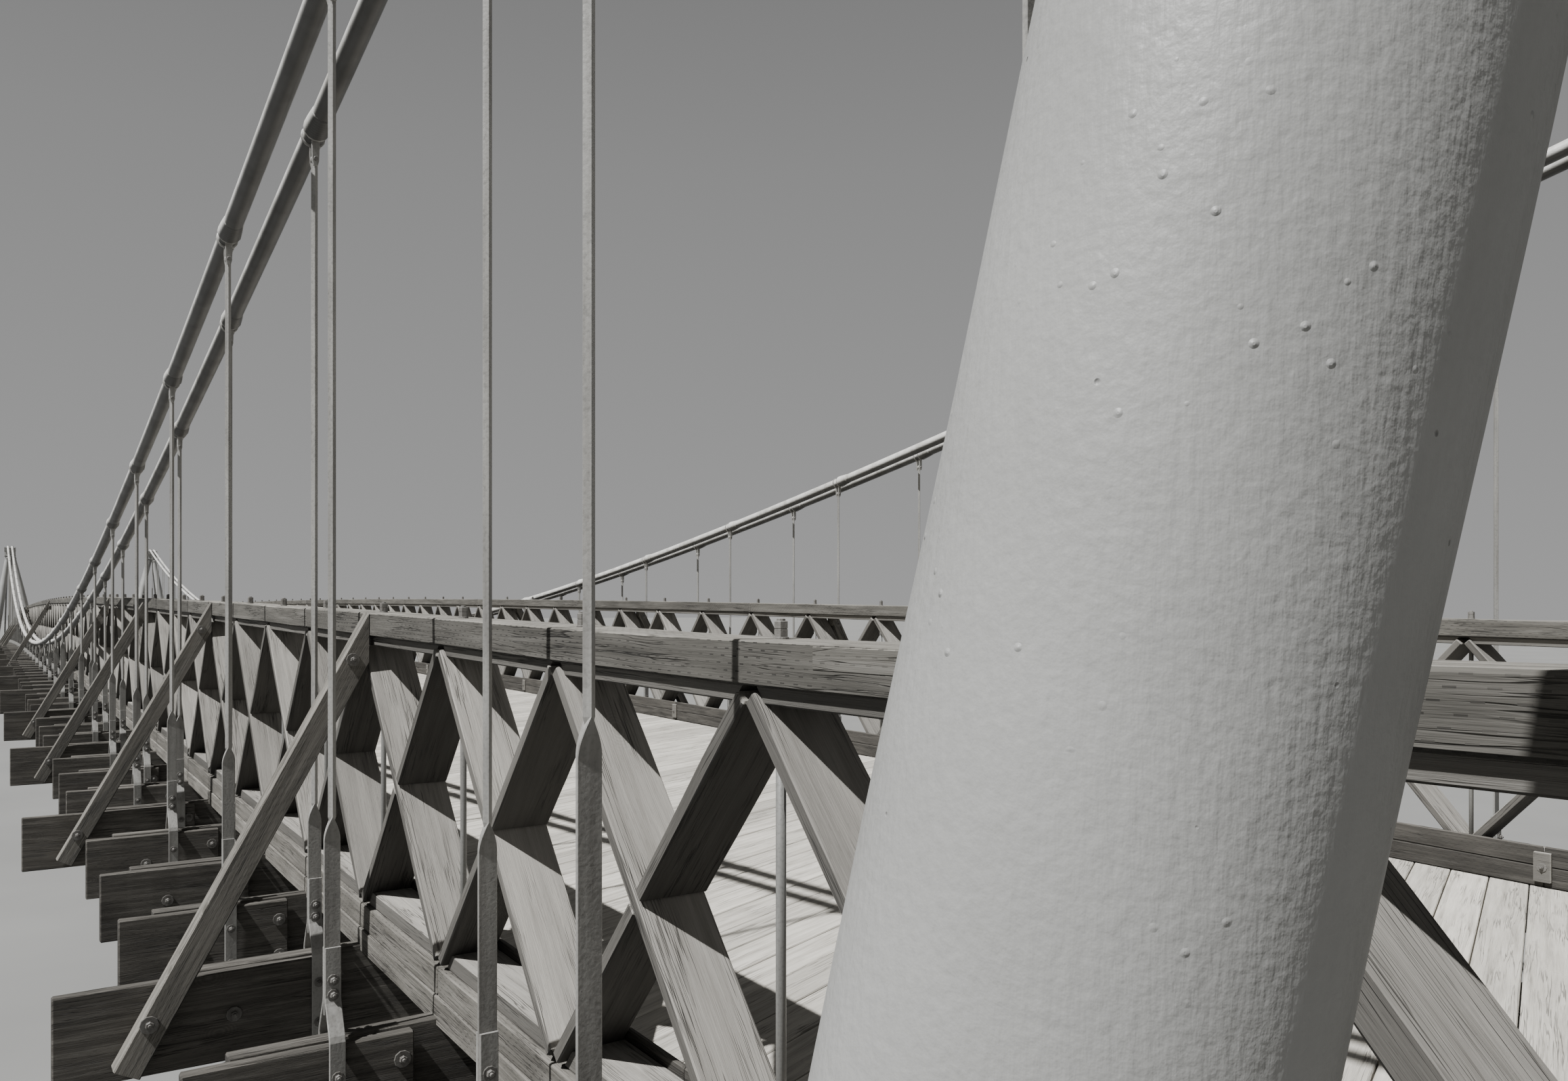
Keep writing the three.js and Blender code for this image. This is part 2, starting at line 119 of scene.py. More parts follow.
def has_brace(k):
    """A long beam has knee braces unless one of the cables would pass through them.

    Measured plumb, a brace is deeper than across its grain, by the length of its slope over the bridge.
    """
    room, depth = [size * math.hypot(1, BRACE_SLOPE) for size in (CABLE_ROOM, BRACE_DEPTH)]
    for y, _, _ in CABLES.values():
        top = beam_top(k) + TRUSS_HEIGHT - BRACE_SLOPE * (y - TRUSS_OUTER)
        if top - depth - room < cable_height(station(k)) < top + room:
            return False
    return is_long(k)


LONG = [k for k in range(BAYS + 1) if is_long(k)]
BRACED = [k for k in LONG if has_brace(k)]
print("long beams:", len(LONG), "braced:", BRACED)

# %% [markdown]
# ## One way to make everything
# Almost every piece of a bridge is a closed tube of rings: a board has rings with eight corners, a nut has
# rings with six, a column has round ones. Cubes and cylinders with modifiers could make each of them, one
# object at a time. A single function skins any number of such pieces at once, whole arrays at a time, which
# is quick enough for the thousands of bolts and boards here. It also lays a texture coordinate on them in
# metres, u along the piece and v round it, so that grain runs the right way on each plank. A number called
# tone differs from piece to piece, and end marks the cut ends.

# %% Skinning rings
rng = np.random.default_rng(7)


def loft(rings, smooth=False, slot=0, tone=None):
    """Skins closed tubes. Ring i is joined to ring i + 1 by quads, and a polygon closes each end ring.

    rings has the shape (pieces, rings, corners, 3), with the corners counter-clockwise seen from the far end.
    u is the distance travelled from ring centre to ring centre, and v the distance round the widest ring.
    """
    rings = np.asarray(rings, float)
    rings = rings[None] if rings.ndim == 3 else rings
    count, n, m, _ = rings.shape
    centre = rings.mean(axis=2)
    step = np.linalg.norm(np.diff(centre, axis=1), axis=-1)
    u = np.concatenate([np.zeros((count, 1)), np.cumsum(step, axis=1)], axis=1)
    edge = np.linalg.norm(np.roll(rings, -1, axis=2) - rings, axis=-1)
    widest = edge.sum(axis=2).argmax(axis=1)
    edge = edge[np.arange(count), widest]
    v = np.concatenate([np.zeros((count, 1)), np.cumsum(edge, axis=1)], axis=1)
    i, j = [a.ravel() for a in np.meshgrid(np.arange(n - 1), np.arange(m), indexing="ij")]
    after = (j + 1) % m
    quads = np.stack([i * m + j, i * m + after, (i + 1) * m + after, (i + 1) * m + j], axis=1)
    quad_u = np.stack([u[:, i], u[:, i], u[:, i + 1], u[:, i + 1]], axis=-1)
    quad_v = np.stack([v[:, j], v[:, j + 1], v[:, j + 1], v[:, j]], axis=-1)
    first, last = np.arange(m)[::-1], (n - 1) * m + np.arange(m)
    loops = np.concatenate([quads.ravel(), first, last])
    flat = rings.reshape(count, -1, 3)
    caps = []
    for ring, order in ((0, first), (n - 1, last)):
        mid = centre[:, ring]
        along = rings[:, ring, 1] - rings[:, ring, 0] + 1e-9
        along /= np.linalg.norm(along, axis=-1, keepdims=True)
        rel = flat[:, order] - mid[:, None]
        x = (rel * along[:, None]).sum(-1)
        y = np.sqrt(np.maximum((rel ** 2).sum(-1) - x ** 2, 0))
        other = rel[:, :1] * 0 + np.cross(along, rel[:, m // 4])[:, None]
        y *= np.sign((np.cross(along[:, None], rel) * other).sum(-1) + 1e-12)
        caps.append(np.stack([x, y], axis=-1))
    uv = np.concatenate([np.stack([quad_u, quad_v], -1).reshape(count, -1, 2)] + caps, axis=1)
    tone = rng.random(count) if tone is None else np.broadcast_to(tone, (count,))
    sides = len(quads)
    return {
        "co": rings.reshape(-1, 3),
        "loops": (loops[None] + np.arange(count)[:, None] * n * m).ravel(),
        "totals": np.tile(np.r_[np.full(sides, 4), m, m], count),
        "smooth": np.tile(np.r_[np.full(sides, smooth), False, False], count),
        "slot": np.full(count * (sides + 2), slot),
        "uv": uv.reshape(-1, 2),
        "tone": np.repeat(tone, len(loops)),
        "end": np.tile(np.r_[np.zeros(4 * sides), np.ones(2 * m)], count),
    }


# %% From skins to an object
TRIANGLES = {}


def build(name, skins, materials, slot, *nodes):
    """Joins skins into one object at the origin that rides on the bridge and stands for the given nodes."""
    mesh = bpy.data.meshes.new(name)
    shift, loops = 0, []
    for skin in skins:
        loops.append(skin["loops"] + shift)
        shift += len(skin["co"])
    gather = {key: np.concatenate([skin[key] for skin in skins]) for key in skins[0]}
    loops = np.concatenate(loops)
    starts = np.concatenate([[0], np.cumsum(gather["totals"])[:-1]])
    mesh.vertices.add(shift)
    mesh.vertices.foreach_set("co", gather["co"].ravel())
    mesh.loops.add(len(loops))
    mesh.loops.foreach_set("vertex_index", loops.astype(np.int32))
    mesh.polygons.add(len(starts))
    mesh.polygons.foreach_set("loop_start", starts.astype(np.int32))
    mesh.polygons.foreach_set("loop_total", gather["totals"].astype(np.int32))
    mesh.polygons.foreach_set("use_smooth", gather["smooth"].astype(bool))
    mesh.polygons.foreach_set("material_index", gather["slot"].astype(np.int32))
    mesh.update(calc_edges=True)
    mesh.uv_layers.new(name="UVMap").data.foreach_set("uv", gather["uv"].ravel())
    for key in ("tone", "end"):
        mesh.attributes.new(key, "FLOAT", "CORNER").data.foreach_set("value", gather[key])
    for material in materials:
        mesh.materials.append(material)
    piece = bpy.data.objects.new(name, mesh)
    bpy.context.scene.collection.objects.link(piece)
    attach(piece, "root")
    if nodes:
        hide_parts(*nodes)
    TRIANGLES[name] = int((gather["totals"] - 2).sum())
    print(name, "triangles:", TRIANGLES[name])
    return piece


# %% [markdown]
# ## Boards, turned pieces and straps
# A board is a chamfered rectangle carried along a line. Its corners are eased, as sawn timber's are after
# some years, and the rings between its ends wander by a fraction of a millimetre, because no weathered edge
# is dead straight. Nuts and columns are turned about an axis, and cables, rods and straps are carried along
# a path.

# %% Boards


def chamfered(a, b, c):
    """The eight corners of a rectangle of half sizes a and b with its corners cut by c, counter-clockwise."""
    x = np.stack([a, a, a - c, c - a, -a, -a, c - a, a - c], axis=-1)
    y = np.stack([c - b, b - c, b, b, b - c, c - b, -b, -b], axis=-1)
    return x, y


def boards(start, end, across, width, thick, edge=0.4 * MM, steps=1, wear=0.0, up=None, lift=None, slot=0,
           tone=None):
    """Straight boards from start to end. across is the way their width runs, and up that of their thickness.

    A ring sits at each end, one edge width inside it, and at steps - 1 even places between. wear is how far,
    in metres, the corners of the inner rings wander. lift is a function of x that bends the board upwards.
    """
    start, end = np.atleast_2d(start).astype(float), np.atleast_2d(end).astype(float)
    start, end = np.broadcast_arrays(start, end)
    run = end - start
    length = np.linalg.norm(run, axis=1, keepdims=True)
    way = run / length
    across = np.broadcast_to(np.asarray(across, float), start.shape)
    if up is None:
        up = np.cross(way, across)
        up /= np.linalg.norm(up, axis=1, keepdims=True)
    up = np.broadcast_to(np.asarray(up, float), start.shape)
    inner = np.linspace(0, 1, steps + 1)
    at = np.concatenate([np.zeros_like(length), edge + (length - 2 * edge) * inner, length], axis=1)
    inset = np.r_[edge, np.zeros(steps + 1), edge]
    a, b = width / 2 - inset, thick / 2 - inset
    x, y = chamfered(a, b, np.full_like(a, edge))
    rings = (start[:, None] + way[:, None] * at[..., None])[:, :, None]
    rings = rings + across[:, None, None] * x[None, ..., None] + up[:, None, None] * y[None, ..., None]
    if wear:
        nudge = rng.normal(0, wear, rings.shape[:3] + (1,))
        nudge[:, [0, -1]] = 0
        rings = rings + nudge * (across[:, None, None] * np.sign(x)[None, ..., None] * 0.7
                                 + up[:, None, None] * np.sign(y)[None, ..., None] * 0.7)
    if lift is not None:
        rings[..., 2] += lift(rings[..., 0].mean(axis=2))[..., None]
    return loft(rings, slot=slot, tone=tone)


one = boards((0, 0, 0), (1.0, 0, 0), (0, 1.0, 0), 0.1, 0.1, tone=0.5)
print("a board has", len(one["totals"]), "faces")

# %% Turned pieces and bolts


def frame_of(axis):
    """Two unit vectors that make a right-handed set with axis, so that rings run counter-clockwise."""
    axis = np.asarray(axis, float)
    axis = axis / np.linalg.norm(axis, axis=-1, keepdims=True)
    helper = np.where(np.abs(axis[..., 2:3]) < 0.9, [0.0, 0.0, 1.0], [0.0, 1.0, 0.0])
    side = np.cross(helper, axis)
    side /= np.linalg.norm(side, axis=-1, keepdims=True)
    return axis, side, np.cross(axis, side)


def turned(centres, axis, profile, sides=12, spin=0.0, smooth=True, slot=0, tone=None):
    """Pieces of revolution: profile lists (distance along the axis, radius) from each centre."""
    centres = np.atleast_2d(centres)
    axis, side, other = frame_of(np.broadcast_to(np.asarray(axis, float), centres.shape))
    offset, radius = np.asarray(profile, float).T
    turn = 2 * np.pi * np.arange(sides) / sides + spin
    circle = side[:, None] * np.cos(turn)[:, None] + other[:, None] * np.sin(turn)[:, None]
    rings = (centres[:, None] + axis[:, None] * offset[:, None])[:, :, None]
    return loft(rings + circle[:, None] * radius[:, None, None], smooth=smooth, slot=slot, tone=tone)


def bolts(centres, axis, size, slot=0, plate=2.2, tone=None):
    """A washer, a six-sided nut and the rounded end of the bolt, all scaled from the bolt's diameter."""
    washer = [(0, plate * size * 0.97), (0.05 * size, plate * size), (0.28 * size, plate * size),
              (0.34 * size, plate * size * 0.94)]
    nut = [(0.3 * size, 0.98 * size), (1.05 * size, 0.98 * size), (1.2 * size, 0.84 * size)]
    tip = [(1.1 * size, 0.5 * size), (1.65 * size, 0.5 * size), (1.8 * size, 0.36 * size)]
    return [turned(centres, axis, washer, sides=10, smooth=False, slot=slot, tone=tone),
            turned(centres, axis, nut, sides=6, smooth=False, slot=slot, tone=tone, spin=0.4),
            turned(centres, axis, tip, sides=8, slot=slot, tone=tone)]


one = bolts((0, 0, 0), (0, 0, 1.0), 1.0, tone=0.5)
print("a bolt has", sum(len(part["totals"]) for part in one), "faces")

# %% Tubes and straps


def tube(path, radius, sides=12, side_way=(0.0, 1.0, 0.0), slot=0, smooth=True, tone=None):
    """A round tube along points, with a radius at each. side_way is a direction that every ring contains."""
    path = np.asarray(path, float)
    path = path[None] if path.ndim == 2 else path
    along = np.gradient(path, axis=1)
    along /= np.linalg.norm(along, axis=-1, keepdims=True)
    side = np.broadcast_to(np.asarray(side_way, float), path.shape)
    side = side - along * (side * along).sum(-1, keepdims=True)
    side /= np.linalg.norm(side, axis=-1, keepdims=True)
    other = np.cross(along, side)
    turn = 2 * np.pi * np.arange(sides) / sides
    radius = np.broadcast_to(np.asarray(radius, float), path.shape[:2])[..., None, None]
    circle = side[:, :, None] * np.cos(turn)[:, None] + other[:, :, None] * np.sin(turn)[:, None]
    return loft(path[:, :, None] + radius * circle, smooth=smooth, slot=slot, tone=tone)


def straps(path, half_width, half_thick, across, spin=0.0, edge=0.25 * MM, slot=0, tone=None):
    """Flat bars along points: their width runs along across, turned about the path by spin at each point."""
    path = np.asarray(path, float)
    path = path[None] if path.ndim == 2 else path
    along = np.gradient(path, axis=1)
    along /= np.linalg.norm(along, axis=-1, keepdims=True)
    wide = np.broadcast_to(np.asarray(across, float), path.shape)
    thick = np.cross(along, wide)
    spin = np.broadcast_to(spin, path.shape[:2])[..., None]
    wide, thick = wide * np.cos(spin) + thick * np.sin(spin), thick * np.cos(spin) - wide * np.sin(spin)
    a = np.broadcast_to(half_width, path.shape[:2])
    b = np.broadcast_to(half_thick, path.shape[:2])
    x, y = chamfered(a, b, np.full_like(a, edge))
    rings = path[:, :, None] + wide[:, :, None] * x[..., None] + thick[:, :, None] * y[..., None]
    return loft(rings, slot=slot, tone=tone)


# %% [markdown]
# ## Materials
# Colours are written as they look on a screen and turned into linear light once. One small function adds a
# shader node, sets its properties and links its inputs. Pattern scales come from real sizes: a saw-cut
# grain line is two or three millimetres wide in the real bridge, so a quarter of a millimetre here.

# %% Shader helpers


def colour(hex_code):
    """Screen colour to linear: up to 0.04045 divide by 12.92, else the 2.4 power of (c + 0.055) / 1.055."""
    parts = [int(hex_code[i:i + 2], 16) / 255 for i in (1, 3, 5)]
    return tuple(c / 12.92 if c <= 0.04045 else ((c + 0.055) / 1.055) ** 2.4 for c in parts) + (1.0,)


def put(tree, kind, *inputs, out=0, stops=(), **settings):
    """Adds a shader node and gives back one of its outputs.

    kind is the node's type, with its operation after a space where it has one. inputs are values or other
    nodes' outputs in the order of the sockets, or one dictionary of them by name or number. stops are the
    places and colours of a colour ramp, each colour a screen code or a grey. settings are other properties.
    """
    kind, _, operation = kind.partition(" ")
    node = tree.nodes.new("ShaderNode" + kind)
    if operation:
        settings["operation"] = operation
    for key, value in settings.items():
        setattr(node, key, value)
    links = inputs[0] if inputs and isinstance(inputs[0], dict) else dict(enumerate(inputs))
    for key, value in links.items():
        if isinstance(value, bpy.types.NodeSocket):
            tree.links.new(value, node.inputs[key])
        else:
            node.inputs[key].default_value = value
    while stops and len(node.color_ramp.elements) < len(stops):
        node.color_ramp.elements.new(0.5)
    for i, (place, value) in enumerate(stops):
        node.color_ramp.elements[i].position = place
        grey = (value, value, value, 1.0)
        node.color_ramp.elements[i].color = colour(value) if isinstance(value, str) else grey
    return node.outputs[out] if len(node.outputs) else None


def new_material(name):
    """An empty material with one shader, and the function put tied to its tree."""
    material = bpy.data.materials.new(name)
    material.use_nodes = True
    tree = material.node_tree
    tree.nodes.clear()
    add = functools.partial(put, tree)
    surface = add("BsdfPrincipled")
    add("OutputMaterial", surface)
    return material, add, surface.node


# %% Colour and relief


def coat(add, shader, base, layers):
    """Lays layers on a base colour, each given as its way of mixing, its strength and its colour."""
    for mode, strength, layer in layers:
        base = add("Mix", {0: strength, 6: base, 7: layer}, out=2, data_type="RGBA", blend_type=mode)
    shader.id_data.links.new(base, shader.inputs["Base Color"])


def relief(add, shader, layers):
    """Chains bump nodes: each layer is its height, its strength and its distance in metres."""
    normal = {}
    for height, strength, distance in layers:
        links = {"Height": height, "Strength": strength, "Distance": distance, **normal}
        normal = {"Normal": add("Bump", links)}
    shader.id_data.links.new(normal["Normal"], shader.inputs["Normal"])


def painted_shade_below(add, full, least):
    """A painted shade: 1 where a face looks up or sideways, least where its normal drops by full."""
    height = add("SeparateXYZ", add("TexCoord", out="Normal"), out=2)
    return add("ValToRGB", add("Math SUBTRACT", 0.0, height), stops=[(0.1, 1.0), (full, least)])


print("mid grey in linear light:", round(colour("#808080")[0], 4))

# %% [markdown]
# ### Weathered timber
# Grain is noise stretched forty times along the plank. Drying cracks are the thin places where a second
# stretched noise crosses its middle value. Knots are the middles of some cells of a Voronoi pattern, with
# growth rings round them. Timber treated against rot is pricked with rows of short slits, which show in the
# photo on the newer planks. A face that looks down is darkened, a painted shade. Faces that look across the
# bridge, the narrow edges among them, are painted darker than the wide faces, also a painted shade. The
# normal tells both kinds of face. A picture of wood could be laid on instead, but worked-out patterns never
# repeat from plank to plank.

# %% Timber material
SLIT_ROW, SLIT_STEP = 1.7 * MM, 5.2 * MM


def timber(name, dark, mid, light, rough=0.85, slits=0.0, cracks=1.0, stain=0.5, edges=1.0):
    """Patterns in metres on the UV map. Each plank's tone shades it and moves it to its own place in them."""
    material, add, shader = new_material(name)
    u, v, _ = add("SeparateXYZ", add("UVMap", uv_map="UVMap")).node.outputs
    tone, end = [add("Attribute", attribute_name=key, out="Fac") for key in ("tone", "end")]
    place = add("CombineXYZ", add("Math ADD", u, add("Math MULTIPLY", tone, 3.0)), v, tone)
    wander = add("VectorMath MULTIPLY", place, (14, 40, 5))
    wander = add("TexNoise", {"Vector": wander, "Scale": 1.0}, out="Color")
    bent = add("VectorMath MULTIPLY_ADD", wander, (0.0, 0.0024, 0.0), place)
    broad, fine, blotch, split, cracked, knotty = [
        add("TexNoise", {"Vector": add("VectorMath MULTIPLY", vector, stretch), "Scale": 1.0,
                         "Detail": detail, "Roughness": roughness})
        for vector, stretch, detail, roughness in (
            (bent, (16, 330, 9), 3, 0.55), (bent, (70, 2600, 17), 4, 0.65), (place, (28, 60, 3), 4, 0.55),
            (bent, (18, 620, 31), 2, 0.55), (place, (20, 90, 7), 2, 0.55), (place, (12, 12, 5), 1, 0.55))]
    # A crack runs where the split noise is near its middle, and only in places.
    crack = add("Math ABSOLUTE", add("Math SUBTRACT", split, 0.5))
    crack = add("ValToRGB", crack, stops=[(0.0, 1.0), (0.012, 0.75), (0.03, 0.0)])
    crack = add("Math MULTIPLY", crack, add("ValToRGB", cracked, stops=[(0.45, 0.0), (0.62, 1.0)]))
    dent = add("Math MULTIPLY", crack, cracks)
    # A knot is the middle of a Voronoi cell, and its rings are a wave of the distance from there.
    cell = {"Vector": add("VectorMath MULTIPLY", bent, (34, 45, 11)), "Scale": 1.0}
    cell = add("TexVoronoi", cell, out="Distance")
    few = add("ValToRGB", knotty, stops=[(0.52, 0.0), (0.6, 1.0)])
    knot = add("Math MULTIPLY", add("ValToRGB", cell, stops=[(0.0, 1.0), (0.05, 1.0), (0.09, 0.0)]), few)
    near = add("Math MULTIPLY", add("ValToRGB", cell, stops=[(0.08, 0.9), (0.35, 0.0)]), few)
    rings = add("Math MULTIPLY", add("Math SINE", add("Math MULTIPLY", cell, 150.0)), 0.5)
    rings = add("Math MULTIPLY", rings, near)
    grain = add("Math ADD", add("Math MULTIPLY", broad, 0.6), add("Math MULTIPLY", fine, 0.4))
    grain = add("Math ADD", grain, add("Math MULTIPLY", rings, 0.12))
    # Slits stand in rows, each row a little further along than the last.
    if slits:
        row = add("Math DIVIDE", v, SLIT_ROW)
        step = add("Math MULTIPLY", add("Math FLOOR", row), 0.37)
        step = add("Math ADD", add("Math DIVIDE", u, SLIT_STEP), step)
        off_row, off_step = [add("Math ABSOLUTE", add("Math SUBTRACT", add("Math FRACT", part), 0.5))
                             for part in (row, step)]
        narrow, short = add("Math LESS_THAN", off_row, 0.09), add("Math LESS_THAN", off_step, 0.16)
        cut = add("Math MULTIPLY", narrow, short)
        faded = add("Math MULTIPLY", cut, add("ValToRGB", blotch, stops=[(0.35, 1.0), (0.6, 0.25)]))
        dent = add("Math MAXIMUM", dent, add("Math MULTIPLY", faded, slits))
    dent = add("Math MULTIPLY", dent, add("Math SUBTRACT", 1.0, end))
    pores = {"Vector": add("TexCoord", out="Object"), "Scale": 1800.0, "Detail": 3, "Roughness": 0.55}
    layers = [("MULTIPLY", stain, add("ValToRGB", blotch, stops=[(0.3, 0.45), (0.6, 1.0)])),
              ("MULTIPLY", 1.0, add("ValToRGB", tone, stops=[(0.0, 0.75), (1.0, 1.1)])),
              ("MIX", add("Math MULTIPLY", knot, 0.75), colour(dark)),
              ("MIX", add("Math MULTIPLY", dent, 0.85), colour("#1d1b18")),
              ("MIX", end, add("ValToRGB", add("TexNoise", pores), stops=[(0.35, dark), (0.65, mid)])),
              # Painted shade: a face that looks down is darkened to a quarter of its colour.
              ("MULTIPLY", 1.0, painted_shade_below(add, 0.35, 0.25))]
    # Painted shade: faces that look across the bridge are darkened, down to the colour factor edges.
    if edges < 1:
        sideways = add("SeparateXYZ", add("TexCoord", out="Normal"), out=1)
        damp_and_side_shade = add("ValToRGB", add("Math ABSOLUTE", sideways), stops=[(0.6, 1.0), (0.9, edges)])
        layers.append(("MULTIPLY", 1.0, damp_and_side_shade))
    coat(add, shader, add("ValToRGB", grain, stops=[(0.28, dark), (0.5, mid), (0.72, light)]), layers)
    gloss = add("Math ADD", add("Math MULTIPLY", fine, 0.2), rough - 0.1)
    shader.id_data.links.new(gloss, shader.inputs["Roughness"])
    shader.inputs["Specular IOR Level"].default_value = 0.25
    height = add("Math ADD", add("Math MULTIPLY", fine, 0.5), add("Math MULTIPLY", broad, 0.5))
    height = add("Math SUBTRACT", height, add("Math MULTIPLY", dent, 1.6))
    relief(add, shader, [(height, 0.8, 0.35 * MM)])
    return material


# %% The five kinds of timber
# edges: the painted shade on faces that look across the bridge, as a colour factor; 1 leaves them as they
# are.
frame_timber = timber("fir_beam_weathered_grey", "#35332f", "#57544f", "#77746e", slits=0.5, edges=0.55)
chord_timber = timber("fir_chord_weathered_grey", "#4a4842", "#6f6c66", "#8d8a83", slits=0.9)
cap_timber = timber("fir_cap_sun_bleached", "#585650", "#807d76", "#9c9992", slits=1.0, stain=0.35,
                    edges=0.42)
web_timber = timber("fir_web_plank_sawn", "#73706a", "#88857f", "#9b9891", slits=0.1, cracks=0.8, stain=0.2,
                    edges=0.42)
deck_timber = timber("fir_deck_plank_foot_worn", "#8c8880", "#b3afa6", "#c9c5bc", rough=0.9, cracks=0.7,
                     stain=0.15)
for wood in (frame_timber, chord_timber, cap_timber, web_timber, deck_timber):
    print("material:", wood.name, "nodes:", len(wood.node_tree.nodes))

# %% [markdown]
# ### Painted iron, wire and steel
# The columns are sand-cast and evenly painted: the coat has an orange peel, faint brush lines down the
# column, and a few bubbles and pits from the sand under it. The cables are wrapped in soft wire, laid like
# thread on a reel, and painted white. Straps and nuts are forged, and their paint has chipped down to the
# dark metal.

# %% Cast iron


def cast_paint(name, light, dull):
    """Bubbles and pits are the middles of two Voronoi patterns, kept only where a broad noise is high."""
    material, add, shader = new_material(name)
    place = add("TexCoord", out="Object")
    down = add("VectorMath MULTIPLY", place, (1500, 1500, 260))
    broad, peel, brush, some = [
        add("TexNoise", {"Vector": vector, "Scale": scale, "Detail": detail, "Roughness": roughness})
        for vector, scale, detail, roughness in (
            (place, 24.0, 3, 0.55), (place, 1050.0, 3, 0.5), (down, 1.0, 3, 0.5), (place, 70.0, 2, 0.55))]
    few = add("ValToRGB", some, stops=[(0.5, 0.0), (0.56, 1.0)])
    small, large = [add("TexVoronoi", {"Vector": place, "Scale": scale}, out="Distance")
                    for scale in (430.0, 210.0)]
    bubble = add("Math MULTIPLY", add("ValToRGB", small, stops=[(0.04, 1.0), (0.13, 0.0)]), few)
    pit = add("ValToRGB", large, stops=[(0.025, 1.0), (0.05, 0.0)])
    pit = add("Math MULTIPLY", pit, add("Math SUBTRACT", 1.0, few))
    coat(add, shader, colour(light), [
        ("MIX", add("ValToRGB", broad, stops=[(0.35, 0.0), (0.7, 1.0)]), colour(dull)),
        ("MULTIPLY", 0.07, add("ValToRGB", brush, stops=[(0.3, 0.6), (0.6, 1.0)])),
        ("MULTIPLY", add("Math MULTIPLY", pit, 0.6), colour("#55524d"))])
    gloss = add("Math ADD", add("Math MULTIPLY", peel, 0.2), 0.4)
    shader.id_data.links.new(gloss, shader.inputs["Roughness"])
    shader.inputs["Specular IOR Level"].default_value = 0.4
    relief(add, shader, [(broad, 0.5, 0.8 * MM), (add("Math SUBTRACT", bubble, pit), 0.6, 0.2 * MM),
                         (brush, 0.7, 0.12 * MM), (peel, 0.6, 0.16 * MM)])
    return material


column_paint = cast_paint("cast_iron_sand_cast_painted_grey", "#929290", "#868684")
print("material:", column_paint.name, "nodes:", len(column_paint.node_tree.nodes))

# %% Forged and galvanised iron


def painted_iron(name, light, dull, chip, lump=520.0, height=0.5 * MM, chips=0.5, rough=0.45):
    """Hammered iron: noise of scale lump raises it, streaks run down it, and a high noise chips its paint."""
    material, add, shader = new_material(name)
    place = add("TexCoord", out="Object")
    down = add("VectorMath MULTIPLY", place, (260, 260, 14))
    broad, lumps, fine, streak, flake = [
        add("TexNoise", {"Vector": vector, "Scale": scale, "Detail": detail, "Roughness": roughness})
        for vector, scale, detail, roughness in (
            (place, 35.0, 3, 0.55), (place, lump, 3, 0.5), (place, lump * 5, 3, 0.6), (down, 1.0, 4, 0.6),
            (place, lump * 0.8, 6, 0.7))]
    chipped = add("Math MULTIPLY", add("ValToRGB", flake, stops=[(0.66, 0.0), (0.7, 1.0)]), chips)
    coat(add, shader, colour(light), [
        ("MIX", add("ValToRGB", streak, stops=[(0.42, 0.0), (0.7, 1.0)]), colour(dull)),
        ("MULTIPLY", 0.5, add("ValToRGB", broad, stops=[(0.3, 0.65), (0.6, 1.0)])),
        ("MIX", chipped, colour(chip)),
        ("MULTIPLY", 0.45, add("ValToRGB", lumps, stops=[(0.3, 0.55), (0.5, 1.0)]))])
    gloss = add("Math ADD", add("Math MULTIPLY", lumps, 0.25), add("Math MULTIPLY", chipped, 0.3))
    gloss = add("Math ADD", gloss, rough - 0.12)
    shader.id_data.links.new(gloss, shader.inputs["Roughness"])
    surface = add("Math SUBTRACT", add("Math MULTIPLY", lumps, 0.7), add("Math MULTIPLY", chipped, 0.4))
    relief(add, shader, [(surface, 0.9, height), (fine, 0.3, height * 0.2)])
    return material


hanger_paint = painted_iron("forged_strap_painted_grey", "#8d8c88", "#74726e", "#453a32", lump=900.0,
                            height=0.1 * MM, chips=0.45)
bolt_iron = painted_iron("nut_and_washer_galvanised_dull", "#6a6864", "#4c4945", "#352b26", lump=1300.0,
                         height=0.12 * MM, chips=0.7, rough=0.55)
rod_steel = painted_iron("round_bar_galvanised_smooth", "#757572", "#63625f", "#4a4743", lump=1500.0,
                         height=0.04 * MM, chips=0.15, rough=0.42)
for iron in (hanger_paint, bolt_iron, rod_steel):
    print("material:", iron.name, "nodes:", len(iron.node_tree.nodes))

# %% Wrapped wire
WIRE_STEP = 0.42 * MM


